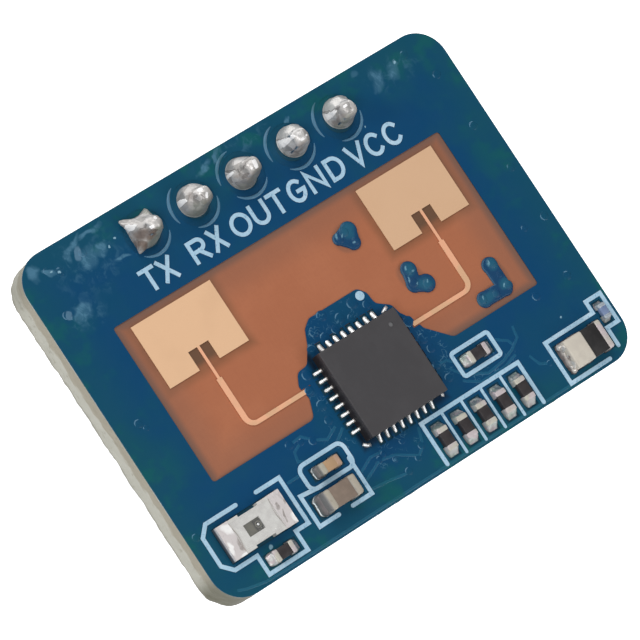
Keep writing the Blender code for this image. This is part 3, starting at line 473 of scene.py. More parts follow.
@dataclass(frozen=True)
class Laminate(Finish):
    """Woven glass laminate: warm under its clear coat in the window, pale and torn at the edge."""

    window: Rgb = (0.395, 0.136, 0.065)
    shade: Rgb = (0.20, 0.085, 0.04)
    edge: Rgb = (0.235, 0.215, 0.165)
    dust: Rgb = (0.33, 0.325, 0.28)
    opening_shade: Rgb = (0.005, 0.050, 0.085)
    warm: Rgb = (0.46, 0.17, 0.085)
    thread: Rgb = (0.35, 0.118, 0.06)
    notch_shade: Rgb = (0.105, 0.062, 0.036)
    rim: Rgb = (0.18, 0.095, 0.068)
    lobe_shading: Rgb = (0.20, 0.095, 0.062)
    dirt: Rgb = (0.17, 0.16, 0.12)
    far_edge: Rgb = (0.105, 0.102, 0.070)
    low_edge: Rgb = (0.14, 0.13, 0.10)
    edge_highlight: Rgb = (0.40, 0.43, 0.46)
    # Rectangles, each as its middle and half sides; the chip's apron has cut corners.
    antennas: tuple[tuple[float, float, float, float], ...] = (
        (-5.9, -4.4, 2.035, 1.445), (5.9, -4.4, 2.035, 1.445),
    )
    opening: Point = (0.0, -6.36, 8.62, 3.78)
    # Ovals of painted shadow on the laminate round the islands.
    islands: Ovals = (
        (2.35, -4.4, 0.75, 0.75, 0), (3.9, -7.2, 0.95, 0.62, -65), (7.3, -8.95, 0.95, 0.5, 90),
        (6.7, -9.5, 1.05, 0.5, 0),
    )
    chip: Point = (0.02, -9.8, 2.46, 4.15)

    def paint(self, graph: Graph) -> None:
        """Paints the material.

        Args:
            graph: The material's empty node tree.
        """
        x, y = graph.x, graph.y
        halo = functools.reduce(Value.least, (beyond(x, y, box) for box in self.antennas))
        outside = beyond(x, y, self.opening)
        from_x, from_y = abs(x - self.chip[0]), abs(y - self.chip[1])
        under_chip = (self.chip[2] - from_x.most(from_y)).least(self.chip[3] - from_x - from_y)
        hidden = outside.most(under_chip).ramp(0.0, 0.06)
        cloud = graph.noise(2.6, 3.0)
        warp, weft = (graph.noise(0.09, 2.0, 0.5, stretch)
                      for stretch in ((1.0, 0.25, 1.0), (0.25, 1.0, 1.0)))
        weave = warp * 0.5 + weft * 0.5
        inner = graph.colour(self.window).mix(self.shade, halo.ramp(0.5, 0.0) * 0.75)
        inner = inner.mix(self.warm, cloud.ramp(0.45, 0.7) * 0.35)
        inner = inner.mix(self.thread, weave.ramp(0.45, 0.65) * 0.18)
        # Painted shade inside each antenna's notch.
        inner = inner.mix(self.notch_shade, halo.ramp(0.0, -0.35) * 0.8)
        # Painted shade along the window's edges, where the lacquer begins.
        inner = inner.mix(self.rim, outside.ramp(-0.5, -0.1) * 0.65 + outside.ramp(-2.0, -0.5) * 0.32)
        # Painted shadow round the islands.
        inner = inner.mix(self.lobe_shading, graph.spots(self.islands).ramp(0.0, 0.5) * 0.5)
        # Painted shade: laminate seen through openings outside the window, and under the chip, is dark
        # blue.
        inner = inner.mix(self.opening_shade, hidden)
        torn = graph.noise(0.7, 5.0, 0.6, (1.0, 1.0, 2.2))
        low = graph.z.ramp(3.7, 3.0)
        side = graph.colour(self.edge).mix(self.dust, (torn * 0.7 + low * 0.45).ramp(0.42, 0.62))
        side = side.mix(self.dirt, graph.noise(0.3, 4.0, 0.6).ramp(0.56, 0.72) * 0.5)
        # Darker along the edge by the pin row, and painted shade at the lower left corner.
        corner = y.ramp(-12.6, -13.6) * x.ramp(-8.6, -9.8)
        side = side.mix(self.far_edge, (y.ramp(-0.6, 0.8) * 0.5).most(corner))
        side = side.mix(self.low_edge, graph.z.ramp(2.75, 2.6) * 0.5)
        # A broken painted highlight along the top of the edge.
        side = side.mix(self.edge_highlight, graph.z.ramp(4.05, 4.1) * graph.noise(1.5).ramp(0.42, 0.6) * 0.7)
        upward = graph.facing.axis(2).ramp(0.5, 0.8)
        colour = side.mix(inner, upward)
        relief = weave * 0.2 * upward + torn * (1 - upward)
        graph.finish(colour, 0.62, relief=relief, depth=0.05, Specular_IOR_Level=0.25)


@dataclass(frozen=True)
class Gold(Finish):
    """Matt gold plating on copper, with a fine grain."""

    colour: Rgb = (0.84, 0.53, 0.315)
    warm: Rgb = (0.93, 0.45, 0.27)
    right_shade: Rgb = (0.74, 0.47, 0.285)
    worn: Rgb = (0.66, 0.44, 0.25)
    dull: Rgb = (0.70, 0.43, 0.25)
    metallic: float = 0.25
    rough: float = 0.5

    def paint(self, graph: Graph) -> None:
        """Paints the material.

        Args:
            graph: The material's empty node tree.
        """
        grain = graph.noise(0.035, 2.0)
        cloud = graph.noise(2.2, 2.0)
        x, y = graph.x, graph.y
        thin = abs(abs(x) - 5.9).ramp(0.2, 0.12) * y.ramp(-4.9, -5.2)
        feed = thin.most(y.ramp(-5.9, -6.0))
        wide = graph.noise(0.8, 2.0).ramp(0.4, 0.6) * y.ramp(-6.4, -6.6) * 0.6
        # Painted shade darkens the gold towards +x.
        colour = graph.colour(self.colour).mix(self.right_shade, x.ramp(-2.0, 4.0)).mix(self.warm, feed * 0.8)
        colour = colour.mix(self.worn, wide)
        colour = colour.mix(self.dull, cloud.ramp(0.45, 0.72) * 0.25 + grain.ramp(0.5, 0.75) * 0.12)
        relief = grain + cloud * 0.3
        graph.finish(colour, self.rough + grain * 0.1, self.metallic, relief, 0.004)


@dataclass(frozen=True)
class PinPlating(Finish):
    """Bright gold on the pins below the board, tinned where they come up through the solder."""

    gold: Rgb = (0.54, 0.385, 0.165)
    tin: Rgb = (0.62, 0.60, 0.58)
    scratch: Rgb = (0.5, 0.42, 0.3)

    def paint(self, graph: Graph) -> None:
        """Paints the material.

        Args:
            graph: The material's empty node tree.
        """
        tinned = graph.z.ramp(3.2, 3.6)
        drawn = graph.noise(0.12, 3.0, 0.6, (1.0, 1.0, 0.12))
        colour = graph.colour(self.gold).mix(self.tin, tinned)
        colour = colour.mix(self.scratch, drawn.ramp(0.55, 0.8) * 0.3)
        graph.finish(colour, 0.22 + drawn * 0.18, 1.0, drawn, 0.006)


@dataclass(frozen=True)
class Solder(Finish):
    """Bright solder, grained where it froze, with brown flux burnt on in places."""

    colour: Rgb = (0.72, 0.70, 0.69)
    burnt: Rgb = (0.20, 0.13, 0.10)
    foot: Rgb = (0.10, 0.085, 0.075)
    dull: Rgb = (0.45, 0.43, 0.41)
    crest: Rgb = (0.17, 0.15, 0.15)
    averted_shade: Rgb = (0.07, 0.125, 0.155)
    pink: Rgb = (0.56, 0.42, 0.45)
    green: Rgb = (0.36, 0.46, 0.38)
    gleam: Rgb = (0.80, 0.86, 0.88)
    flux: float = 0.15
    rough: float = 0.24
    depth: float = 0.012
    dark: float = 0.05
    metallic: float = 1.0
    line: float = 0.0
    away: float = 0.0

    def paint(self, graph: Graph) -> None:
        """Paints the material.

        Args:
            graph: The material's empty node tree.
        """
        cool = graph.noise(0.4, 2.0, 0.5, (1, 1, 1), 0.3)
        stain = graph.noise(0.5, 4.0, 0.65)
        colour = graph.colour(self.colour).mix(self.dull, cool.ramp(0.5, 0.72) * 0.5)
        colour = colour.mix(self.burnt, stain.ramp(0.5, 0.66) * self.flux)
        # Darker at the foot: burnt flux, and painted shade where the solder meets the board.
        foot = graph.z.ramp(LAND_Z + self.dark, LAND_Z + self.dark * 0.3)
        colour = colour.mix(self.foot, foot * 0.85)
        level = graph.z - LAND_Z
        colour = colour.mix(self.crest, level.ramp(0.08, 0.22) * self.line)
        # Painted shade and painted reflection of the blue lacquer on faces turned to +x or +y.
        turned = graph.facing.axis(0).most(graph.facing.axis(1)).ramp(0.1, 0.4)
        patchy = graph.noise(0.2, 3.0, 0.6, (1, 1, 1), 0.5).ramp(0.66, 0.48)
        colour = colour.mix(self.averted_shade, turned * self.away * patchy)
        tinge = graph.noise(0.42, 3.0, 0.6, (1, 1, 1), 0.6)
        colour = colour.mix(self.pink, tinge.ramp(0.54, 0.62) * self.away * 0.7)
        colour = colour.mix(self.green, tinge.ramp(0.46, 0.38) * self.away * 0.7)
        # A painted glint low along the toe, on faces turned to -x, scaled by line.
        rim = level.ramp(0.045, 0.055) * level.ramp(0.09, 0.07) * graph.facing.axis(0).ramp(0.1, -0.1)
        colour = colour.mix(self.gleam, rim * self.line * graph.noise(0.3, 2.0).ramp(0.38, 0.52))
        rough = foot * 0.3 + self.rough + cool * 0.12 + stain.ramp(0.5, 0.66) * self.flux * 0.3
        graph.finish(colour, rough, self.metallic - foot, cool + stain * 0.6, self.depth)


@dataclass(frozen=True)
class Frozen:
    """How one joint froze: its lean, and ovals of painted highlights, light and shade, flux and olive tint.
    """

    lean: tuple[float, float]
    bright: Ovals = ()
    dark: Ovals = ()
    brown: Ovals = ()
    olive: Ovals = ()
    pale: Ovals = ()
    flux: float = 0.4
    shade: float = 0.75
    metal: Rgb = (0.53, 0.505, 0.485)


@dataclass(frozen=True)
class JointSolder(Finish):
    """The solder of one pin's joint: grey, crumpled and fluxed, with painted highlights, light and shade.
    """

    centre: float
    frozen: Frozen
    metallic: float = 0.42
    rough: float = 0.32
    dark_facet: Rgb = (0.28, 0.265, 0.25)
    light_facet: Rgb = (0.70, 0.675, 0.65)
    underside: Rgb = (0.16, 0.165, 0.14)
    pale: Rgb = (0.66, 0.64, 0.61)
    olive: Rgb = (0.21, 0.23, 0.185)
    brown: Rgb = (0.13, 0.085, 0.062)
    glare: Rgb = (0.98, 0.97, 0.96)
    crease_shade: Rgb = (0.09, 0.08, 0.075)
    foot: Rgb = (0.06, 0.085, 0.10)

    def paint(self, graph: Graph) -> None:
        """Paints the material.

        Args:
            graph: The material's empty node tree.
        """
        fleck = graph.noise(0.12, 3.0, 0.6)
        cool = graph.noise(0.45, 3.0, 0.5, (1, 1, 1), 0.4)
        shard = graph.cells(0.34, "Color")
        bright = graph.spots(self.frozen.bright, self.centre, 0.07, 0.3, 5.0).ramp(0.0, 0.5)
        # Dark ovals: painted shade in the creases.
        dark = graph.spots(self.frozen.dark, self.centre, 0.07, 0.2).ramp(0.0, 0.7)
        brown = graph.spots(self.frozen.brown, self.centre, 0.15, 0.4)
        olive = graph.spots(self.frozen.olive, self.centre, 0.15, 0.4)
        # Pale ovals: painted light on the facets that face the light.
        pale = graph.spots(self.frozen.pale, self.centre, 0.1, 0.4, 3.0).ramp(0.0, 0.6)
        foot = graph.z.ramp(LAND_Z + 0.15, LAND_Z + 0.03)
        lower = (graph.facing.axis(0) * 0.55 - graph.facing.axis(1) * 0.83).ramp(-0.1, 0.75)
        colour = graph.colour(self.frozen.metal).mix(self.dark_facet, shard.ramp(0.48, 0.7) * 0.65)
        colour = colour.mix(self.light_facet, shard.ramp(0.42, 0.25) * 0.6)
        colour = colour.mix(self.underside, lower * self.frozen.shade)
        colour = colour.mix(self.pale, pale * 0.9).mix(self.olive, olive * 0.6)
        colour = colour.mix(self.brown, brown * self.frozen.flux)
        colour = colour.mix(self.glare, bright * 0.9).mix(self.crease_shade, dark * 0.65)
        # Darker at the foot: flux, and painted shade where the ball meets the lacquer.
        colour = colour.mix(self.foot, foot * 0.55)
        dulled = bright * 0.3 + olive * 0.35 + brown * 0.3 + dark * 0.4 + foot * 0.5 + lower * 0.25
        shine = self.metallic - dulled
        relief = cool + fleck * 0.35 + shard * 0.35 + bright * 0.4 - dark * 0.22
        graph.finish(colour, self.rough + cool * 0.12 + foot * 0.2, shine.most(0.0), relief, 0.03)


@dataclass(frozen=True)
class Tin(Finish):
    """The dipped metal ends of chip components: soft, warm and nearly white."""

    colour: Rgb = (0.62, 0.57, 0.52)
    shade: Rgb = (0.42, 0.36, 0.32)
    rough: float = 0.42
    metallic: float = 0.45
    tint: Rgb = (0.54, 0.525, 0.44)
    averted_shade: Rgb = (0.20, 0.195, 0.195)
    tinted: float = 0.0
    flank: float = 0.0

    def paint(self, graph: Graph) -> None:
        """Paints the material.

        Args:
            graph: The material's empty node tree.
        """
        dip = graph.noise(0.18, 3.0, 0.6)
        batch = graph.noise(0.9, 1.0).ramp(0.42, 0.58)
        colour = graph.colour(self.colour).mix(self.tint, batch * self.tinted)
        colour = colour.mix(self.shade, dip.ramp(0.5, 0.75) * 0.5)
        # Painted shade on the flanks that face -x.
        colour = colour.mix(self.averted_shade, graph.facing.axis(0).ramp(-0.02, -0.85) * self.flank)
        graph.finish(colour, self.rough + dip * 0.15, self.metallic, dip, 0.012)


@dataclass(frozen=True)
class StreakedPlating(Finish):
    """The LED's plated ends: bright, with painted glares, brushed grey streaks and darker marks."""

    colour: Rgb = (0.68, 0.63, 0.62)
    bright: Rgb = (0.99, 0.98, 0.96)
    streak: Rgb = (0.25, 0.215, 0.19)
    foot: Rgb = (0.02, 0.045, 0.075)
    glares: Ovals = (
        (-9.38, -11.8, 0.46, 0.26, -44), (-9.68, -12.5, 0.42, 0.13, 90), (-6.62, -12.78, 0.3, 0.2, 110),
        (-7.6, -11.52, 0.2, 0.1, 0), (-9.3, -12.98, 0.3, 0.1, 0),
    )
    stains: Ovals = (
        (-8.98, -11.86, 0.3, 0.09, 75), (-9.2, -12.5, 0.42, 0.22, 70), (-6.97, -12.5, 0.34, 0.07, 80),
        (-7.0, -12.05, 0.2, 0.1, 60), (-9.0, -12.8, 0.2, 0.1, 20), (-6.6, -12.0, 0.2, 0.07, 40),
    )

    def paint(self, graph: Graph) -> None:
        """Paints the material.

        Args:
            graph: The material's empty node tree.
        """
        brushed = graph.noise(0.34, 4.0, 0.7, (1.8, 0.8, 1.0), 1.2)
        smear = graph.noise(0.17, 5.0, 0.75, (1, 1, 1), 1.0).ramp(0.38, 0.6)
        glare = graph.spots(self.glares, drift=0.2, size=0.5).ramp(0.0, 1.0)
        stain = graph.spots(self.stains, drift=0.2, size=0.4).ramp(0.0, 0.7) * (smear * 0.5 + 0.5)
        # Painted shade and painted reflection of the blue board, low on the end faces.
        low = graph.z.ramp(LAND_Z + 0.3, LAND_Z + 0.18)
        colour = graph.colour(self.colour).mix(self.streak, brushed.ramp(0.54, 0.7) * 0.3 + stain * 0.75)
        colour = colour.mix(self.bright, glare * 0.9).mix(self.foot, low * 0.9)
        graph.finish(colour, 0.4 + brushed * 0.15, 0.2, brushed, 0.012)


@dataclass(frozen=True)
class Moulded(Finish):
    """Moulded plastic with the fine sparkle of its filler."""

    colour: Rgb
    pale: Rgb
    rough: float = 0.5
    grain: float = 0.03
    depth: float = 0.004
    sides: float = 0.0
    dimple: float = 0.0
    side_shade: Rgb = (0.012, 0.010, 0.012)
    sunk: Rgb = (0.16, 0.16, 0.165)

    def paint(self, graph: Graph) -> None:
        """Paints the material.

        Args:
            graph: The material's empty node tree.
        """
        speck = graph.noise(self.grain, 2.0, 0.7)
        cloud = graph.noise(0.9, 3.0)
        pale = speck.ramp(0.5, 0.8) * 0.5 + cloud.ramp(0.4, 0.7) * 0.25
        colour = graph.colour(self.colour).mix(self.pale, pale)
        low = graph.z.ramp(LAND_Z + 0.78, LAND_Z + 0.4)
        colour = colour.mix(self.side_shade, graph.facing.axis(2).ramp(0.9, 0.4) * low * self.sides)
        floor = graph.z.ramp(self.dimple + 0.012, self.dimple + 0.008)
        colour = colour.mix(self.sunk, floor * graph.facing.axis(2).ramp(0.8, 0.9) * 0.8)
        graph.finish(colour, self.rough + speck * 0.12, relief=speck, depth=self.depth,
                     Specular_IOR_Level=0.35)


@dataclass(frozen=True)
class Ceramic(Finish):
    """Fired ceramic, or the glassy coat on a resistor, with faint clouding."""

    colour: Rgb
    other: Rgb
    rough: float = 0.4

    def paint(self, graph: Graph) -> None:
        """Paints the material.

        Args:
            graph: The material's empty node tree.
        """
        cloud = graph.noise(0.35, 3.0)
        speck = graph.noise(0.045, 2.0)
        share = cloud.ramp(0.4, 0.65) * 0.7 + speck.ramp(0.6, 0.8) * 0.3
        colour = graph.colour(self.colour).mix(self.other, share)
        graph.finish(colour, self.rough + speck * 0.1, relief=speck + cloud, depth=0.004,
                     Specular_IOR_Level=0.4)


@dataclass(frozen=True)
class Ink(Finish):
    """Screen-printed ink, a little thin where the mesh of the screen starved it."""

    colour: Rgb = (0.40, 0.59, 0.73)
    thin: Rgb = (0.16, 0.33, 0.48)
    thick: Rgb = (0.52, 0.68, 0.80)

    def paint(self, graph: Graph) -> None:
        """Paints the material.

        Args:
            graph: The material's empty node tree.
        """
        starved = graph.noise(0.16, 4.0, 0.65)
        mesh = graph.cells(0.07)
        blot = graph.noise(0.9, 2.0)
        colour = graph.colour(self.colour).mix(self.thick, blot.ramp(0.5, 0.7) * 0.8)
        colour = colour.mix(self.thin, starved.ramp(0.54, 0.72) * 0.75 + mesh.ramp(0.3, 0.6) * 0.12)
        graph.finish(colour, 0.6, relief=starved + mesh, depth=0.006, Specular_IOR_Level=0.3)


@dataclass(frozen=True)
class Epoxy(Finish):
    """Clear moulded epoxy, slightly milky."""

    clear: Rgb = (0.95, 0.96, 0.95)
    milky: Rgb = (0.88, 0.89, 0.88)

    def paint(self, graph: Graph) -> None:
        """Paints the material.

        Args:
            graph: The material's empty node tree.
        """
        ripple = graph.noise(0.4, 2.0)
        colour = graph.colour(self.clear).mix(self.milky, ripple.ramp(0.4, 0.7))
        graph.finish(colour, 0.06 + ripple * 0.06, relief=ripple, depth=0.006, Alpha=0.05)


@dataclass(frozen=True)
class Paper(Finish):
    """The pale sweep that the module stands on, lit from behind like a light table."""

    glow: float = 0.9
    white: Rgb = (0.9, 0.9, 0.9)
    tooth: Rgb = (0.87, 0.87, 0.87)

    def paint(self, graph: Graph) -> None:
        """Paints the material.

        Args:
            graph: The material's empty node tree.
        """
        colour = graph.colour(self.white).mix(self.tooth, graph.noise(1.6, 4.0).ramp(0.4, 0.7))
        graph.finish(colour, 0.9, Emission_Color=(1.0, 1.0, 1.0, 1.0), Emission_Strength=self.glow,
                     Specular_IOR_Level=0.0)


MASK = Lacquer("blue_lacquer")
# Films with no marks of their own.
PLAIN: dict[str, Ovals] = {"smears": (), "pane_reflections": (), "sparks": (), "clouds": (), "highlight_squiggles": ()}
TRACK = Lacquer("blue_lacquer_over_copper", deep=(0.010, 0.090, 0.180), green=(0.014, 0.104, 0.160),
                rough=0.24, **PLAIN)
BUMP = Lacquer("blue_lacquer_on_vias", deep=(0.001, 0.046, 0.125), green=(0.003, 0.062, 0.105),
               rough=0.4, gloss=0.35, grain=0.0, depth=0.003, swell=0.2, **PLAIN)
MOAT = Lacquer("blue_lacquer_round_pins", deep=(0.0015, 0.050, 0.125), green=(0.004, 0.068, 0.105),
               rough=0.35, **PLAIN)
# Pale lacquer on the joints' lips and the vias' rims: a painted highlight on their raised edges.
LIP_HIGHLIGHT = Lacquer("blue_lacquer_lip_highlight", deep=(0.085, 0.20, 0.31), green=(0.085, 0.20, 0.30), rough=0.2, **PLAIN)
LAMINATE = Laminate("glass_laminate")
GOLD = Gold("matt_gold")
PIN = PinPlating("pin_plating")
FILLET = Solder("fillet_solder", colour=(0.54, 0.545, 0.53), foot=(0.015, 0.05, 0.075), flux=0.12,
                rough=0.34, depth=0.03, metallic=0.55, away=0.75)
# The capacitors' skirts: dark all over, a painted reflection of the dark board.
SKIRT = Solder("skirt_solder", colour=(0.06, 0.078, 0.08), foot=(0.03, 0.05, 0.055), flux=0.1,
               rough=0.4, depth=0.03, metallic=0.1, line=0.9)
LUMPS = Solder("lumpy_solder", colour=(0.70, 0.66, 0.61), foot=(0.045, 0.03, 0.035), flux=0.8,
               rough=0.3, depth=0.04, dark=0.2, metallic=0.45)
TOE = Solder("toe_solder", colour=(0.97, 0.97, 0.96), flux=0.0, rough=0.42, depth=0.006)
TIN = Tin("tinned_end")
BEIGE_TIN = Tin("beige_tinned_end", colour=(0.42, 0.38, 0.31), shade=(0.29, 0.25, 0.20),
                rough=0.5, metallic=0.1, flank=0.9)
PALE_CAP_TIN = Tin("capacitor_tinned_end", colour=(0.44, 0.41, 0.33), shade=(0.3, 0.27, 0.21),
                   rough=0.45, metallic=0.15, flank=0.6)
COOL_TIN = Tin("cool_tinned_end", colour=(0.42, 0.47, 0.52), shade=(0.24, 0.3, 0.38),
               rough=0.35, metallic=0.4)
PINK_TIN = Tin("pink_tinned_end", colour=(0.57, 0.50, 0.51), shade=(0.40, 0.33, 0.32),
               rough=0.45, metallic=0.2, tinted=0.9)
LED_PLATING = StreakedPlating("led_plating")
CHIP_BLACK = Moulded("moulded_package", (0.052, 0.049, 0.052), (0.072, 0.069, 0.073), sides=0.9,
                     dimple=LAND_Z + 0.77)
HEADER_BLACK = Moulded("header_plastic", (0.014, 0.014, 0.015), (0.03, 0.03, 0.031), 0.4, 0.12, 0.01)
RESISTOR_BLACK = Ceramic("resistor_coat", (0.028, 0.023, 0.024), (0.042, 0.035, 0.036), 0.4)
DIODE_BLACK = Ceramic("diode_moulding", (0.017, 0.016, 0.016), (0.026, 0.024, 0.024), 0.4)
TAN = Ceramic("tan_ceramic", (0.43, 0.275, 0.155), (0.37, 0.25, 0.15), 0.5)
TAN_END = Ceramic("tan_end", (0.44, 0.29, 0.20), (0.36, 0.24, 0.17), 0.45)
BROWN = Ceramic("brown_ceramic", (0.205, 0.155, 0.12), (0.245, 0.185, 0.145), 0.48)
GREY = Ceramic("grey_ceramic", (0.15, 0.21, 0.36), (0.21, 0.27, 0.42), 0.25)
BEIGE = Ceramic("beige_band", (0.60, 0.55, 0.47), (0.54, 0.49, 0.42), 0.5)
SUBSTRATE = Ceramic("white_substrate", (0.62, 0.61, 0.58), (0.52, 0.50, 0.48), 0.4)
# The colour of the dark line along the lens's feet.
LENS_LINE = Ceramic("lens_foot_line", (0.36, 0.32, 0.29), (0.58, 0.54, 0.51), 0.35)
POCKET = Ceramic("pocket_floor", (0.105, 0.098, 0.070), (0.075, 0.070, 0.050), 0.4)
DIE = Ceramic("die_face", (0.014, 0.012, 0.008), (0.035, 0.03, 0.022), 0.25)
INK = Ink("screen_ink")
EPOXY = Epoxy("clear_epoxy")
PAPER = Paper("paper_sweep")


def circle(centre: Point, radius: float, steps: int) -> list[Point]:
    """Evenly spaced points of a circle on the board."""
    turns = [2 * math.pi * i / steps for i in range(steps)]
    return [(centre[0] + radius * math.cos(a), centre[1] + radius * math.sin(a)) for a in turns]


def arch(steps: int) -> list[tuple[float, float]]:
    """Cosine and sine of even steps over half a turn, for rounded sections."""
    return [(math.cos(math.pi * k / steps), math.sin(math.pi * k / steps)) for k in range(steps + 1)]


def mitres(path: Sequence[Vector], half: float, limit: float, closed: bool = False) -> list[Vector]:
    """Finds the sides of a strip along a path, square to it and farther out where it bends.

    Args:
        path: The strip's middle line.
        half: Half its width.
        limit: The least cosine that a bend counts with, so that sharp bends stay short.
        closed: Whether the last point joins the first.

    Returns:
        The way from each point to the strip's left side.
    """
    found = []
    for i, point in enumerate(path):
        back = path[i - 1] if i or closed else None
        ahead = path[(i + 1) % len(path)] if i + 1 < len(path) or closed else None
        into = (ahead - point if back is None else point - back).normalized()
        out = into if ahead is None else (ahead - point).normalized()
        normal = Vector((-into.y - out.y, into.x + out.x)).normalized()
        spread = half / max(normal.dot(Vector((-into.y, into.x))), limit)
        found.append(normal * spread)
    return found


class Shape:
    """A mesh under construction, in millimetres."""

    def __init__(self) -> None:
        """Starts an empty mesh."""
        self.mesh = bmesh.new()

    def prism(self, outline: Sequence[Point], low: float, high: float) -> "Shape":
        """Adds an outline extruded between two levels.

        Args:
            outline: Its points, in order.
            low: The lower level.
            high: The upper level.

        Returns:
            This shape.
        """
        return self.rings([[(*point[:2], low) for point in outline],
                           [(*point[:2], high) for point in outline]])

    def rings(self, rings: Sequence[Sequence[Point]], closed: bool = False) -> "Shape":
        """Joins rings of equally many points by walls.

        Args:
            rings: The rings, in order.
            closed: Whether the last ring joins the first, as in a hoop. Both ends are capped if not.

        Returns:
            This shape.
        """
        rows = [[self.mesh.verts.new(point) for point in ring] for ring in rings]
        pairs = zip(rows, rows[1:] + rows[:1]) if closed else zip(rows, rows[1:])
        faces = []
        for row, following in pairs:
            for i in range(len(row)):
                faces.append(self.mesh.faces.new((row[i - 1], row[i], following[i], following[i - 1])))
        if not closed:
            faces += [self.mesh.faces.new(rows[0]), self.mesh.faces.new(rows[-1])]
        bmesh.ops.recalc_face_normals(self.mesh, faces=faces)
        return self

    def hoop(self, centre: Point, radius: float, level: float, width: float, height: float, steps: int = 40,
             start: float = 0.0, sweep: float = 2 * math.pi) -> "Shape":
        """Adds a low rounded hoop, or an arc of one with tapered ends, that lies on a level.

        Args:
            centre: Its centre on the board.
            radius: Radius of its middle line.
            level: The level that it lies on.
            width: Its width.
            height: Its height.
            steps: Facets round it.
            start: Where an arc starts, in radians.
            sweep: How far it runs, in radians.

        Returns:
            This shape.
        """
        whole = sweep > 2 * math.pi - 0.01
        sections = []
        for i in range(steps + (0 if whole else 1)):
            turn = start + sweep * i / steps
            swell = 1.0 if whole else max(math.sin(math.pi * i / steps), 0.05) ** 0.5
            section = []
            for across, up in arch(8):
                reach = radius - across * width / 2 * swell
                place = (centre[0] + reach * math.cos(turn), centre[1] + reach * math.sin(turn))
                section.append((*place, level + up * height * swell))
            sections.append(section)
        return self.rings(sections, closed=whole)

    def dome(self, centre: Point, radius: float, level: float, height: float, steps: int = 16) -> "Shape":
        """Adds a low dome, as lacquer makes over a via.

        Args:
            centre: Its centre on the board.
            radius: Its radius.
            level: The level that it stands on.
            height: Its height.
            steps: Facets round it.

        Returns:
            This shape.
        """
        rings = []
        for share in (1.0, 0.93, 0.8, 0.62, 0.42, 0.22, 0.06):
            lift = height * math.cos(share * math.pi / 2) ** 0.6
            rings.append([(*point, level + lift) for point in circle(centre, radius * share, steps)])
        return self.rings(rings)

    def ridge(self, path: Sequence[Point], width: float, level: float, height: float) -> "Shape":
        """Adds a low rounded ridge along a path, as lacquer makes over a copper track.

        Args:
            path: Its middle line on the board.
            width: Its width.
            level: The level that it lies on.
            height: Its height.

        Returns:
            This shape.
        """
        sections = []
        points = [Vector(point) for point in path]
        for i, (point, side) in enumerate(zip(points, mitres(points, width / 2, 0.4))):
            swell = 0.35 if i in (0, len(points) - 1) else 1.0
            section = [(*(point - side * across), level + up * height * swell) for across, up in arch(6)]
            sections.append(section)
        return self.rings(sections)

    def sheet(self, size: tuple[int, int], surface: Callable[[float, float], Point], low: float) -> "Shape":
        """Adds a closed solid under a surface.

        Args:
            size: Facets along each way.
            surface: Gives the surface's point for two shares from 0 to 1.
            low: The level of its flat underside.

        Returns:
            This shape.
        """
        columns, lines = size
        grid = [[self.mesh.verts.new(surface(i / columns, j / lines)) for j in range(lines + 1)]
                for i in range(columns + 1)]
        faces = []
        for i in range(columns):
            for j in range(lines):
                corners = (grid[i][j], grid[i + 1][j], grid[i + 1][j + 1], grid[i][j + 1])
                faces.append(self.mesh.faces.new(corners))
        rim = [grid[i][0] for i in range(columns)] + [grid[columns][j] for j in range(lines)]
        rim += [grid[i][lines] for i in range(columns, 0, -1)] + [grid[0][j] for j in range(lines, 0, -1)]
        foot = [self.mesh.verts.new((vert.co.x, vert.co.y, low)) for vert in rim]
        for i in range(len(rim)):
            faces.append(self.mesh.faces.new((rim[i - 1], rim[i], foot[i], foot[i - 1])))
        faces.append(self.mesh.faces.new(foot))
        bmesh.ops.recalc_face_normals(self.mesh, faces=faces)
        return self

    def block(self, low: Point, high: Point, radius: float, steps: int = 3) -> "Shape":
        """Adds a block with rounded edges.

        Args:
            low: Its lowest corner.
            high: Its highest corner.
            radius: Radius of its edges.
            steps: Facets round each edge.

        Returns:
            This shape.
        """
        size = Vector(high) - Vector(low)
        place = Matrix.Translation((Vector(high) + Vector(low)) / 2) @ Matrix.Diagonal((*size, 1.0))
        made = bmesh.ops.create_cube(self.mesh, size=1.0, matrix=place)
        edges = list({edge for vert in made["verts"] for edge in vert.link_edges})
        bmesh.ops.bevel(self.mesh, geom=edges, offset=radius, segments=steps, profile=0.5, affect="EDGES")
        return self

    def wobble(self, depth: float, size: float, seed: float) -> "Shape":
        """Moves its points by noise, so that a surface isn't ruled.

        Args:
            depth: How far a point moves at most.
            size: Size of the waves.
            seed: Shifts the pattern.

        Returns:
            This shape.
        """
        shift = Vector((seed, seed * 0.37, -seed * 0.61))
        self.mesh.normal_update()
        moves = [vert.normal * (depth * noise(vert.co / size + shift)) for vert in self.mesh.verts]
        for vert, move in zip(self.mesh.verts, moves):
            vert.co += move
        return self

    def turned(self, matrix: Matrix) -> "Shape":
        """Moves the whole shape by a matrix in millimetres."""
        bmesh.ops.transform(self.mesh, matrix=matrix, verts=self.mesh.verts)
        return self

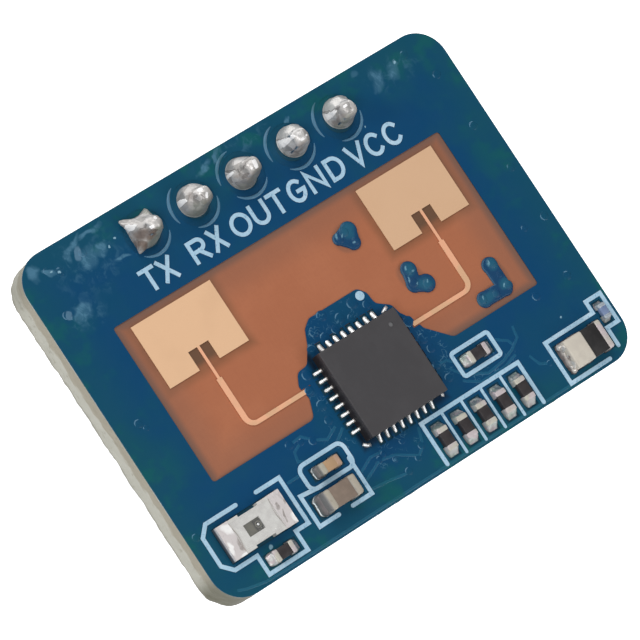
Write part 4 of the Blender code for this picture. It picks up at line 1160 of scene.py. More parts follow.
    def piece(self, name: str, finish: Finish, slot: str, replaces: Iterable[str] = (),
              angle: float = 40.0) -> bpy.types.Object:
        """Turns the shape into a piece of the module.

        Args:
            name: The piece's name.
            finish: What it is made of.
            slot: A material slot's name; not used.
            replaces: CAD nodes that it stands for.
            angle: Edges sharper than this, in degrees, stay sharp.

        Returns:
            The piece.
        """
        bmesh.ops.scale(self.mesh, vec=(MM, MM, MM), verts=self.mesh.verts)
        mesh = bpy.data.meshes.new(name)
        self.mesh.to_mesh(mesh)
        self.mesh.free()
        mesh.materials.append(material_of(finish))
        mesh.shade_smooth()
        mesh.set_sharp_from_angle(angle=math.radians(angle))
        made = bpy.data.objects.new(name, mesh)
        weighted = made.modifiers.new("weighted", "WEIGHTED_NORMAL")
        weighted.keep_sharp = True
        bpy.context.scene.collection.objects.link(made)
        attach(made, BODY)
        if replaces:
            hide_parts(*replaces)
        LOG.info("%s: %d faces", name, len(mesh.polygons))
        return made


def dress(node: str, finish: Finish) -> None:
    """Gives a CAD node that stays a finish of its own.

    Args:
        node: The node's name.
        finish: The finish.
    """
    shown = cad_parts[node]
    shown.data.materials.clear()
    shown.data.materials.append(material_of(finish))
    shown.data.polygons.foreach_set("material_index", [0] * len(shown.data.polygons))
    LOG.info("%s wears %s", node, finish.name)


def board_point(x: float, y: float) -> Point:
    """A point given from the board's centre, in the module's frame."""
    return (x, y + BOARD_Y)


@dataclass
class Board:
    """The laminate with its torn edge, its blue films, and what stands up under the lacquer."""

    length: float = 22.0
    width: float = 16.0
    corner: float = 1.4
    low: float = 2.555
    high: float = 4.11
    pullback: float = 0.14
    tear: float = 0.1
    hole: float = 0.51
    back_hole: float = 0.97
    film_out: float = 0.004
    film_in: float = 0.02
    island_rise: float = 0.05
    island_edge: float = 0.085
    via_rise: float = 0.13
    track_width: float = 0.13
    track_rise: float = 0.014
    pitch: float = 2.54
    # Each via's place from the board's centre and its radius, and each track's bends.
    vias: tuple[tuple[float, float, float], ...] = (
        (-9.96, 5.26, 0.2), (-9.76, 5.0, 0.14), (-9.93, 0.13, 0.2), (-9.75, -0.17, 0.14),
        (-9.65, 7.19, 0.16), (-9.2, 6.89, 0.2), (-7.9, 7.1, 0.2), (9.24, 7.3, 0.2), (8.74, 7.22, 0.16),
        (10.03, 5.92, 0.2), (10.15, 3.33, 0.2), (10.55, 1.05, 0.2), (10.6, -1.38, 0.2), (9.95, -3.95, 0.2),
        (8.2, -4.0, 0.2), (9.49, -1.38, 0.16), (-10.55, -4.87, 0.18), (-0.6, -6.02, 0.16),
        (-1.08, -7.2, 0.18), (-1.62, -6.06, 0.14), (0.03, -6.59, 0.18), (-1.9, -6.17, 0.16),
        (-1.3, -6.5, 0.14), (-0.4, -6.95, 0.16), (7.0, -6.6, 0.14), (0.93, -0.25, 0.26),
        (-0.56, -0.05, 0.24), (0.1, -0.52, 0.24), (-1.22, -0.45, 0.24), (-0.95, -0.85, 0.22),
        (0.55, -0.75, 0.2), (-0.35, -0.8, 0.2), (-1.75, -1.0, 0.22), (-2.55, -1.75, 0.24),
        (-2.85, -2.35, 0.22), (-2.75, -3.1, 0.24), (-2.85, -3.75, 0.2), (1.45, -0.62, 0.2),
        (2.1, -1.3, 0.22), (2.61, -2.09, 0.24), (2.72, -2.99, 0.24), (2.8, -3.5, 0.2), (2.6, -4.2, 0.2),
        (2.75, -4.9, 0.2), (-4.92, -3.76, 0.2), (-3.93, -4.1, 0.2), (-4.42, -3.9, 0.16),
    )
    tracks: tuple[tuple[tuple[float, float], ...], ...] = (
        ((-10.3, -7.5), (-9.9, -7.65), (-9.0, -7.82), (-7.4, -7.86), (0.2, -7.85), (8.6, -7.82)),
        ((-5.92, -5.0), (-5.2, -5.0), (-4.95, -4.75), (-3.1, -4.7), (-2.5, -4.3)),
        ((-4.92, -3.76), (-4.3, -3.7), (-3.9, -4.1), (-3.35, -4.37), (-2.75, -4.1)),
        ((-4.42, -3.9), (-4.9, -4.1), (-5.0, -4.5), (-4.6, -4.72)),
        ((-2.9, -6.6), (-1.95, -6.2), (-1.2, -6.35), (-0.3, -6.9), (0.1, -6.6), (0.35, -5.9)),
        ((-2.9, -7.0), (-2.0, -7.1), (-1.1, -7.25)),
        ((-2.9, -6.2), (-2.2, -5.9), (-1.6, -5.95)),
        ((3.0, -4.6), (3.4, -5.1), (4.4, -5.6), (5.3, -5.5), (5.9, -5.3), (6.4, -5.0), (6.5, -4.5)),
        ((3.2, -5.3), (3.9, -5.75), (5.2, -5.75), (5.9, -5.55)),
        ((5.5, -4.6), (5.95, -4.9), (6.05, -5.15)),
        ((2.6, -4.2), (3.1, -4.25), (3.3, -4.45)),
        ((7.0, -6.6), (6.6, -6.4), (6.4, -5.9)),
    )

    def outline(self, inset: float = 0.0, step: float = 0.14) -> list[Point]:
        """Closely spaced points round the board's edge.

        Args:
            inset: How far inside the edge they lie.
            step: Their spacing.

        Returns:
            The points, anticlockwise.
        """
        half = Vector((self.length / 2 - self.corner, self.width / 2 - self.corner))
        radius = self.corner - inset
        corners = [(half.x, half.y), (-half.x, half.y), (-half.x, -half.y), (half.x, -half.y)]
        points: list[Vector] = []
        for i, corner in enumerate(corners):
            bends = 14
            for k in range(bends + 1):
                turn = math.pi / 2 * (i + k / bends)
                points.append(Vector(corner) + radius * Vector((math.cos(turn), math.sin(turn))))
        dense: list[Point] = []
        for i, point in enumerate(points):
            ahead = points[(i + 1) % len(points)]
            count = max(1, round((ahead - point).length / step))
            dense += [tuple(point.lerp(ahead, k / count)) for k in range(count)]
        return [board_point(*point) for point in dense]

    def core(self) -> None:
        """The laminate, with an edge that the router has torn a little."""
        rows = 9
        rings = []
        for row in range(rows + 1):
            share = row / rows
            level = self.low + (self.high - self.low) * share
            ring = []
            for point in self.outline():
                where = Vector((*point, level))
                rough = 0.5 + 0.5 * noise(where * 1.6) + 0.35 * noise(where * 5.0)
                rim = 1.0 - 0.8 * share ** 3
                inset = self.tear * max(0.0, min(rough, 1.0)) * rim
                away = Vector((point[0], point[1] - BOARD_Y)).normalized()
                ring.append((point[0] - away.x * inset, point[1] - away.y * inset, level))
            rings.append(ring)
        core = Shape().rings(rings).piece("board_laminate", LAMINATE, "laminate", ["circuit_board"], 60.0)
        cut_away(core, self.holes(self.hole))

    def back(self) -> None:
        """The blue film on the back."""
        outline = self.outline(self.pullback)
        film = Shape().prism(outline, self.low - self.film_out, self.low + self.film_in)
        back = film.piece("back_lacquer", MASK, "solder_mask", ["back_solder_mask"])
        cut_away(back, self.holes(self.back_hole))

    def holes(self, radius: float) -> Shape:
        """Makes a shape that cuts the five pin holes.

        Args:
            radius: Their radius.

        Returns:
            The shape.
        """
        drill = Shape()
        for way in range(-2, 3):
            drill.prism(circle((way * self.pitch, 0.0), radius, 32), self.low - 1, self.high + 1)
        return drill

    def islands(self) -> None:
        """The three islands of lacquer in the window, thick and round-edged, with their vias."""
        lobes = {
            "top": ((2.36, 2.36, 0.15), (2.6, 1.81, 0.13), (2.05, 2.15, 0.1)),
            "middle": ((3.88, -0.25, 0.2), (3.77, -0.88, 0.15), (4.3, -1.22, 0.17)),
            "bottom": ((7.27, -1.86, 0.17), (7.37, -3.0, 0.14), (6.0, -2.94, 0.15), (6.69, -3.04, 0.13),
                       (7.3, -2.45, 0.1)),
        }
        for name, vias in lobes.items():
            node = f"mask_island_{name}"
            shape = Shape()
            shape.mesh.from_mesh(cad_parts[node].data)
            bmesh.ops.scale(shape.mesh, vec=(1 / MM,) * 3, verts=shape.mesh.verts)
            bmesh.ops.remove_doubles(shape.mesh, verts=shape.mesh.verts, dist=0.0005)
            flat = [edge for edge in shape.mesh.edges
                    if len(edge.link_faces) == 2 and edge.calc_face_angle() < 0.01]
            bmesh.ops.dissolve_edges(shape.mesh, edges=flat, use_verts=False)
            for vert in shape.mesh.verts:
                if vert.co.z > (LAND_Z + MASK_Z) / 2:
                    vert.co.z = MASK_Z + self.island_rise
            rim = [edge for edge in shape.mesh.edges if min(v.co.z for v in edge.verts) > MASK_Z]
            bmesh.ops.bevel(shape.mesh, geom=rim, offset=self.island_edge, segments=5, profile=0.5,
                            affect="EDGES")
            shape.piece(f"lacquer_island_{name}", BUMP, "solder_mask", [node], 50.0)
            bumps = Shape()
            for x, y, radius in vias:
                bumps.dome(board_point(x, y), 1.5 * radius, MASK_Z + 0.04, 0.3 * radius)
            bumps.piece(f"lacquer_island_{name}_vias", BUMP, "solder_mask", angle=70.0)

    def relief(self) -> None:
        """Vias and tracks that show as low relief in the lacquer."""
        bumps = Shape()
        for x, y, radius in self.vias:
            bumps.dome(board_point(x, y), radius, MASK_Z - 0.004, self.via_rise * radius)
        bumps.piece("lacquer_vias", MASK, "solder_mask", angle=70.0)
        # Pale arcs on one side of each via: painted highlights on the lacquer's rims.
        rim_highlights = Shape()
        for i, (x, y, radius) in enumerate(self.vias):
            start = math.radians(100 + 50 * math.sin(2.3 * i))
            sweep = math.radians(90 + 60 * math.sin(3.1 * i + 1))
            middle = board_point(x, y)
            rim_highlights.hoop(middle, 0.85 * radius, MASK_Z + 0.002, 0.3 * radius, 0.012, 12, start, sweep)
        rim_highlights.piece("lacquer_via_rim_highlights", LIP_HIGHLIGHT, "solder_mask", angle=70.0)
        ridges = Shape()
        for path in self.tracks:
            bends = [board_point(*point) for point in path]
            ridges.ridge(bends, self.track_width, MASK_Z - 0.002, self.track_rise)
        ridges.piece("lacquer_tracks", TRACK, "solder_mask", angle=70.0)

    def build(self) -> None:
        """Builds and dresses the board."""
        self.core()
        self.back()
        self.islands()
        self.relief()
        dress("front_solder_mask", MASK)
        dress("antenna_left", GOLD)
        dress("antenna_right", GOLD)


def cut_away(target: bpy.types.Object, tool: Shape) -> None:
    """Cuts a shape out of a piece for good.

    Args:
        target: The piece.
        tool: What is cut away.
    """
    bmesh.ops.scale(tool.mesh, vec=(MM, MM, MM), verts=tool.mesh.verts)
    mesh = bpy.data.meshes.new("cutter")
    tool.mesh.to_mesh(mesh)
    tool.mesh.free()
    cutter = bpy.data.objects.new("cutter", mesh)
    bpy.context.scene.collection.objects.link(cutter)
    target.modifiers.clear()
    boolean = target.modifiers.new("cut", "BOOLEAN")
    boolean.operation = "DIFFERENCE"
    boolean.solver = "EXACT"
    boolean.object = cutter
    bpy.context.view_layer.update()
    depsgraph = bpy.context.evaluated_depsgraph_get()
    target.data = bpy.data.meshes.new_from_object(target.evaluated_get(depsgraph))
    target.modifiers.clear()
    target.modifiers.new("weighted", "WEIGHTED_NORMAL").keep_sharp = True
    bpy.data.objects.remove(cutter)
    bpy.data.meshes.remove(mesh)


class Solidity(Enum):
    """How a joint froze."""

    SMOOTH = "smooth"
    PULLED = "pulled"


@dataclass
class PinRow:
    """The header: its pins, its plastic and the solder joint of each pin."""

    names: tuple[str, ...] = ("tx", "rx", "out", "gnd", "vcc")
    pitch: float = 2.54
    middle: float = 0.45
    moat_radius: float = 0.87
    moat_width: float = 0.4
    moat_rise: float = 0.022
    lip_width: float = 0.15
    lip_rise: float = 0.04
    # The pin's levels and half sides; the joint's radii, heights and squareness (2 is round).
    tapers: tuple[tuple[float, float], ...] = (
        (-5.999, 0.18), (-5.96, 0.2), (-5.6, 0.305), (-5.52, 0.32), (5.1, 0.32), (5.4, 0.2),
    )
    profile: tuple[tuple[float, float, float], ...] = (
        (0.70, 0.0, 2.0), (0.66, 0.03, 2.0), (0.645, 0.1, 2.0), (0.635, 0.2, 2.0), (0.62, 0.3, 2.05),
        (0.60, 0.41, 2.1), (0.57, 0.52, 2.2), (0.53, 0.63, 2.35), (0.485, 0.73, 2.55), (0.44, 0.83, 2.8),
        (0.395, 0.93, 3.1), (0.365, 1.03, 3.3), (0.345, 1.13, 3.3), (0.315, 1.22, 3.1), (0.27, 1.3, 2.8),
        (0.205, 1.36, 2.5), (0.12, 1.395, 2.2), (0.03, 1.41, 2.0),
    )
    # Facets and fins by azimuth: rise and depth of a facet, reach and height of a fin.
    facets: tuple[tuple[float, float, float], ...] = (
        (172.0, 42.0, 0.075), (118.0, 50.0, 0.07), (60.0, 34.0, 0.06), (228.0, 40.0, 0.07),
        (282.0, 36.0, 0.06), (338.0, 44.0, 0.07), (12.0, 30.0, 0.05), (150.0, 12.0, 0.04),
        (205.0, 66.0, 0.03),
    )
    fins: tuple[tuple[float, float, float], ...] = (
        (134.0, 0.66, 0.30), (222.0, 0.46, 0.22), (57.0, 0.38, 0.26),
    )
    # Lips of lacquer round a joint, painted pale as highlights: start and sweep in degrees, and radius.
    arcs: tuple[tuple[float, float, float], ...] = ((106.0, 84.0, 1.12), (-128.0, 104.0, 1.03))
    frozen: dict[str, Frozen] = field(default_factory=lambda: {
        "tx": Frozen((-0.05, 0.05),
                     bright=((-0.68, 0.44, 0.2, 0.11, -40), (0.05, 0.18, 0.07, 0.07, 0),
                             (-0.25, -0.08, 0.08, 0.08, 0)),
                     dark=((-0.34, 0.13, 0.13, 0.035, -108), (-0.21, -0.22, 0.23, 0.035, -26),
                           (-0.44, 0.11, 0.11, 0.04, -31)),
                     brown=((-0.52, -0.05, 0.36, 0.26, -64), (-0.62, -0.38, 0.5, 0.16, -62),
                            (-0.3, -0.3, 0.3, 0.2, -30)),
                     olive=((-0.05, -0.45, 0.5, 0.3, -7), (0.3, 0.66, 0.3, 0.2, 60)), flux=0.85),
        "rx": Frozen((-0.02, 0.12),
                     bright=((-0.64, 0.26, 0.14, 0.1, -80), (-0.12, 0.2, 0.12, 0.09, 14),
                             (-0.02, -0.12, 0.13, 0.06, 60)),
                     dark=((-0.19, -0.05, 0.14, 0.035, -70), (-0.33, 0.1, 0.07, 0.06, -99)),
                     brown=((-0.39, 0.24, 0.22, 0.12, -91),),
                     olive=((-0.36, -0.36, 0.42, 0.3, -45),)),
        "out": Frozen((-0.06, 0.06),
                      bright=((-0.7, 0.3, 0.18, 0.1, -76), (0.02, -0.03, 0.2, 0.1, -98)),
                      dark=((-0.58, 0.4, 0.22, 0.035, -66), (-0.48, 0.13, 0.13, 0.035, -96),
                            (-0.41, -0.2, 0.13, 0.1, -39),
                            (-0.68, 0.31, 0.06, 0.05, -101), (-0.32, 0.14, 0.15, 0.035, -129)),
                      brown=((-0.54, -0.01, 0.11, 0.09, -10),),
                      olive=((-0.5, -0.46, 0.3, 0.14, -39),)),
        "gnd": Frozen((0.17, 0.115),
                      bright=((-0.42, 0.25, 0.2, 0.13, -77), (-0.1, -0.15, 0.1, 0.06, 12),
                              (0.15, -0.1, 0.06, 0.05, 0)),
                      dark=((-0.36, 0.39, 0.24, 0.03, -68), (-0.15, 0.34, 0.18, 0.022, 24)),
                      brown=((-0.16, -0.4, 0.3, 0.2, -52),),
                      olive=((-0.52, -0.23, 0.21, 0.12, -61),),
                      pale=((-0.1, 0.6, 0.5, 0.26, 10), (-0.62, 0.0, 0.2, 0.3, 0),
                            (0.3, 0.35, 0.25, 0.2, 0)),
                      shade=0.4, metal=(0.66, 0.645, 0.63)),
        "vcc": Frozen((0.12, 0.145),
                      bright=((-0.53, 0.26, 0.2, 0.12, -60), (-0.17, 0.13, 0.08, 0.07, 0)),
                      dark=((-0.43, 0.43, 0.25, 0.03, -77), (-0.33, 0.22, 0.07, 0.06, -93)),
                      brown=((-0.39, -0.13, 0.18, 0.11, -79),),
                      olive=((-0.25, -0.36, 0.3, 0.2, -41),),
                      pale=((-0.15, 0.6, 0.5, 0.26, 10), (-0.6, 0.05, 0.2, 0.25, 0)), shade=0.45,
                      metal=(0.63, 0.615, 0.60)),
    })

    def ball(self, name: str, kind: Solidity, seed: float) -> list[list[Vector]]:
        """Rings of the joint round the pin's axis, before its facets are cut.

        Args:
            name: The pin's name.
            kind: How it froze.
            seed: Makes it different from its neighbours.

        Returns:
            The rings, from the foot up.
        """
        steps, finer = 96, 3
        levels = [tuple(a + (b - a) * k / finer for a, b in zip(low, high))
                  for low, high in zip(self.profile, self.profile[1:]) for k in range(finer)]
        rings = []
        for radius, height, square in levels + [self.profile[-1]]:
            ring = []
            free = min(height / 0.3, 1.0) * min((1.5 - height) / 0.35, 1.0)
            lean = Vector(self.frozen[name].lean) * max(0.0, min((1.1 - height) / 0.7, 1.0))
            for i in range(steps):
                turn = 2 * math.pi * i / steps
                cosine, sine = math.cos(turn), math.sin(turn)
                reach = radius / (abs(cosine) ** square + abs(sine) ** square) ** (1 / square)
                where = Vector((cosine, sine, height * 1.3 + seed))
                reach += 0.045 * noise(where) * free
                if kind is Solidity.PULLED:
                    reach = reach * 0.95 + 0.06 * noise(where * 1.8) * free
                    for angle, length, level in self.fins:
                        off = (math.degrees(turn) - angle + 180) % 360 - 180
                        rise = (height - level) / 0.3
                        reach += length * math.exp(-abs(off / 15.0) ** 1.2) * math.exp(-rise ** 2)
                ring.append(Vector((lean.x + reach * cosine, lean.y + reach * sine, height)))
            rings.append(ring)
        return rings

    def joint(self, name: str, x: float, kind: Solidity, seed: float) -> None:
        """One solder joint, round at its foot, square where it climbs the pin, and crumpled into facets.

        Args:
            name: The pin's name.
            x: The pin's place.
            kind: How it froze.
            seed: Makes it different from its neighbours.
        """
        rings = self.ball(name, kind, seed)
        lean = self.frozen[name].lean
        middle = Vector((lean[0], lean[1], self.middle))
        for azimuth, rise, depth in self.facets:
            turn = math.radians(azimuth + 16 * noise(Vector((seed, azimuth, 0.0))))
            tilt = math.radians(rise)
            way = Vector((math.cos(turn) * math.cos(tilt), math.sin(turn) * math.cos(tilt), math.sin(tilt)))
            points = [point for ring in rings for point in ring if point.z < 1.0]
            limit = max(way.dot(point - middle) for point in points) - depth
            for point in points:
                over = way.dot(point - middle) - limit
                if over > 0.0 and point.z > 0.04:
                    point -= way * over * min((1.0 - point.z) / 0.25, 1.0)
        placed = [[(point.x + x, point.y, max(point.z, 0.0) + LAND_Z) for point in ring] for ring in rings]
        finish = JointSolder(f"solder_of_{name}", x, self.frozen[name])
        Shape().rings(placed).piece(f"joint_{name}", finish, "solder", [f"solder_joint_{name}"], 50.0)

    def pin(self, name: str, x: float) -> None:
        """One square pin, tapered at its lower end and drowned in solder at its upper end.

        Args:
            name: The pin's name.
            x: Its place.
        """
        rings = []
        for level, half in self.tapers:
            corner = half * 0.88
            ring = [(half, corner), (corner, half), (-corner, half), (-half, corner),
                    (-half, -corner), (-corner, -half), (corner, -half), (half, -corner)]
            rings.append([(x + a, b, level) for a, b in ring])
        Shape().rings(rings).piece(f"pin_{name}", PIN, "gold_plating", [f"header_pin_{name}"], 30.0)

    def build(self) -> None:
        """Builds and dresses the row."""
        lip_highlights = Shape()
        moats = Shape()
        for i, name in enumerate(self.names):
            x = (i - 2) * self.pitch
            kind = Solidity.PULLED if name == "tx" else Solidity.SMOOTH
            self.joint(name, x, kind, 3.7 * i + 1.3)
            moats.hoop((x, 0.0), self.moat_radius, LAND_Z - 0.002, self.moat_width, self.moat_rise)
            tilt = 14 * math.sin(2.1 * i)
            arcs = self.arcs[1:] if kind is Solidity.PULLED else self.arcs
            for start, sweep, radius in arcs:
                start, sweep = math.radians(start + tilt), math.radians(sweep)
                lip_highlights.hoop((x, 0.0), radius, MASK_Z, self.lip_width, self.lip_rise, 24, start, sweep)
            self.pin(name, x)
        moats.piece("lacquer_moats", MOAT, "solder_mask", angle=70.0)
        lip_highlights.piece("lacquer_lip_highlights", LIP_HIGHLIGHT, "solder_mask", angle=70.0)
        dress("header_plastic", HEADER_BLACK)


@dataclass
class Chip:
    """The radar chip: a moulded package on rows of soldered terminals."""

    x: float = 0.02
    y: float = -9.8
    side: float = 4.0
    standoff: float = 0.03
    height: float = 0.8
    edge: float = 0.035
    ways: int = 8
    pitch: float = 0.4
    widths: tuple[float, ...] = (0.16, 0.2, 0.15, 0.145)
    toe: float = 0.33
    dimple_inset: float = 0.55
    dimple_radius: float = 0.1
    dimple_depth: float = 0.03
    terminal_out: float = 0.012
    terminal_in: float = 0.2
    terminal_low: float = 0.02
    terminal_high: float = 0.24
    smear_width: float = 0.16
    smear_rise: float = 0.14
    smears: tuple[tuple[Point, ...], ...] = (
        ((1.84, -1.27), (2.0, -1.17), (2.16, -1.12)),
        ((-2.16, -5.3), (-2.03, -5.43), (-1.86, -5.47)),
        ((2.04, -5.4), (2.1, -5.3)),
    )

    def sides(self) -> list[tuple[Vector, Vector]]:
        """Outward direction and along-side direction of its four sides."""
        return [(Vector(out), Vector((-out[1], out[0]))) for out in ((1, 0), (0, 1), (-1, 0), (0, -1))]

    def package(self) -> None:
        """The moulded body with its pin-one dimple."""
        half = self.side / 2
        low = (self.x - half, self.y - half, LAND_Z + self.standoff)
        high = (self.x + half, self.y + half, LAND_Z + self.height)
        body = Shape().block(low, high, self.edge, 3)
        made = body.piece("chip_package", CHIP_BLACK, "moulded_package", ["radar_chip"], 50.0)
        place = (self.x + half - self.dimple_inset, self.y + half - self.dimple_inset)
        dimple = circle(place, self.dimple_radius, 24)
        cut_away(made, Shape().prism(dimple, high[2] - self.dimple_depth, high[2] + 1))

    def terminals(self) -> None:
        """The terminals at the package's foot, and the solder from each to its land."""
        metal = Shape()
        solder = Shape()
        half = self.side / 2
        for width, (out, along) in zip(self.widths, self.sides()):
            for way in range(self.ways):
                offset = (way - (self.ways - 1) / 2) * self.pitch
                foot = Vector((self.x, self.y)) + out * half + along * offset
                self.terminal(metal, foot, out, along * width)
                self.fillet(solder, foot, out, along * width, way)
        metal.piece("chip_terminals", TIN, "solder", angle=40.0)
        solder.piece("chip_solder", TOE, "solder", angle=50.0)

    def terminal(self, shape: Shape, foot: Vector, out: Vector, along: Vector) -> None:
        """One terminal, flush with the package's side.

        Args:
            shape: What it is added to.
            foot: Where it meets the side.
            out: Away from the package.
            along: Along the side, as long as the terminal is wide.
        """
        corners = []
        front, rear = self.terminal_out, -self.terminal_in
        for across, reach in ((-1, front), (1, front), (1, rear), (-1, rear)):
            corners.append(tuple(foot + along * across * 0.45 + out * reach))
        shape.prism(corners, LAND_Z + self.terminal_low, LAND_Z + self.terminal_high)

    def fillet(self, shape: Shape, foot: Vector, out: Vector, along: Vector, way: int) -> None:
        """The solder of one terminal, hollow from the side down to the land's toe.

        Args:
            shape: What it is added to.
            foot: Where the terminal meets the side.
            out: Away from the package.
            along: Along the side, as long as the terminal is wide.
            way: Which terminal it is, which varies its shape a little.
        """
        sections = []
        vary = 0.5 + 0.5 * math.sin(way * 2.7 + foot.x * 5 + foot.y * 3)
        for step in range(9):
            share = step / 8
            reach = -0.02 + (self.toe + 0.03 * vary) * share
            height = 0.035 + (0.15 + 0.04 * vary) * (1 - share) ** 1.7 + 0.03 * math.sin(math.pi * share)
            spread = 0.5 - 0.175 * max(0.0, share - 0.75) ** 2 * 16
            section = []
            for across, up in arch(8):
                point = foot + out * reach - along * spread * across
                section.append((*point, LAND_Z + height * up ** 0.6))
            sections.append(section)
        shape.rings(sections)

    def corner_solder(self) -> None:
        """Small smears of solder at three of the package's corners."""
        blobs = Shape()
        for path in self.smears:
            bends = [board_point(*point) for point in path]
            blobs.ridge(bends, self.smear_width, LAND_Z + 0.01, self.smear_rise)
        blobs.piece("chip_corner_solder", TOE, "solder", angle=80.0)

    def build(self) -> None:
        """Builds and dresses the chip."""
        self.package()
        self.terminals()
        self.corner_solder()


@dataclass
class ChipPart:
    """A chip component: its block, two dipped metal ends and the solder up each of them."""

    node: str
    length: float
    width: float
    height: float
    left_end: float
    right_end: float
    toe: float
    rise: float
    block: Finish
    slot: str
    end: Finish = TIN
    upright: bool = False
    seed: float = 0.0
    right: Finish | None = None
    skirt: Finish = FILLET
    # Lumps of solder by place, radius and height, and runs of it by path, width and height.
    lumps: tuple[tuple[float, float, float, float], ...] = ()
    runs: tuple[tuple[tuple[Point, ...], float, float], ...] = ()
    tuck: float = 0.05
    inset: float = 0.015

    @property
    def place(self) -> Matrix:
        """Its place on the board.

        Returns:
            A matrix in millimetres, from the component's own frame to the module's.
        """
        low, high = (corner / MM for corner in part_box(self.node))
        centre = (low + high) / 2
        spin = Matrix.Rotation(math.pi / 2 if self.upright else 0.0, 4, "Z")
        return Matrix.Translation((centre.x, centre.y, LAND_Z)) @ spin

    def body(self) -> None:
        """The block between the ends."""
        half = self.length / 2
        side = self.width / 2 - self.inset
        low = (-half + self.left_end - self.tuck, -side, 0.05)
        high = (half - self.right_end + self.tuck, side, self.height - self.inset)
        shape = Shape().block(low, high, 0.02, 2).turned(self.place)
        shape.piece(f"{self.node}_block", self.block, self.slot, [self.node], 50.0)

    def ends(self) -> None:
        """The two dipped ends, which bulge a little."""
        half = self.length / 2
        spans = (("left", -half, -half + self.left_end, self.end),
                 ("right", half - self.right_end, half, self.right or self.end))
        for side, low_x, high_x, finish in spans:
            shape = Shape().block((low_x, -self.width / 2, 0.03), (high_x, self.width / 2, self.height),
                                  min(0.12, 0.3 * self.left_end, 0.14 * self.height + 0.01), 4)
            shape.wobble(0.012, 0.2, self.seed).turned(self.place)
            shape.piece(f"{self.node}_{side}_end", finish, "solder", angle=60.0)

    def skirt_point(self, side: int, end: float, along: float, across: float) -> Point:
        """A point of the skirt of solder round one end.

        Args:
            side: -1 for the left end, 1 for the right.
            end: The end's length.
            along: Share of the way from the block to the solder's toe.
            across: Share of the way from one flank to the other.

        Returns:
            The point, in the component's own frame.
        """
        half = self.length / 2
        x = half - end + (end + self.toe) * along
        y = (self.width + 0.06) * (across - 0.5)
        beyond = max(0.0, x - half) / self.toe
        edge = max(0.0, abs(y) - self.width / 2 + 0.03) / 0.06
        climb = 1 - min(1.0, math.hypot(beyond, 0.85 * edge))
        vary = 0.85 + 0.3 * (0.5 + 0.5 * math.sin(self.seed * 7 + side * 2))
        height = 0.03 + self.rise * vary * climb ** 1.9 + 0.04 * math.sin(math.pi * climb)
        ripple = 0.035 * noise(Vector((x * 5, y * 5, self.seed + side)))
        taper = 1 - 0.34 * beyond ** 2
        return (side * x, side * y * taper, height + ripple * min(1.0, beyond * 3))

    def solder(self) -> None:
        """The solder: a hollow skirt round three sides of each end."""
        shape = Shape()
        for side, end in ((-1, self.left_end), (1, self.right_end)):
            shape.sheet((14, 12), functools.partial(self.skirt_point, side, end), 0.0)
        for x, y, radius, height in self.lumps:
            shape.dome((x, y), radius, 0.02, height)
        for path, width, height in self.runs:
            shape.ridge(path, width, 0.02, height)
        if self.lumps:
            shape.wobble(0.045, 0.14, self.seed)
        shape.turned(self.place)
        shape.piece(f"{self.node}_solder", self.skirt, "solder", angle=70.0)

    def build(self) -> None:
        """Builds and dresses the component."""
        self.body()
        self.ends()
        self.solder()


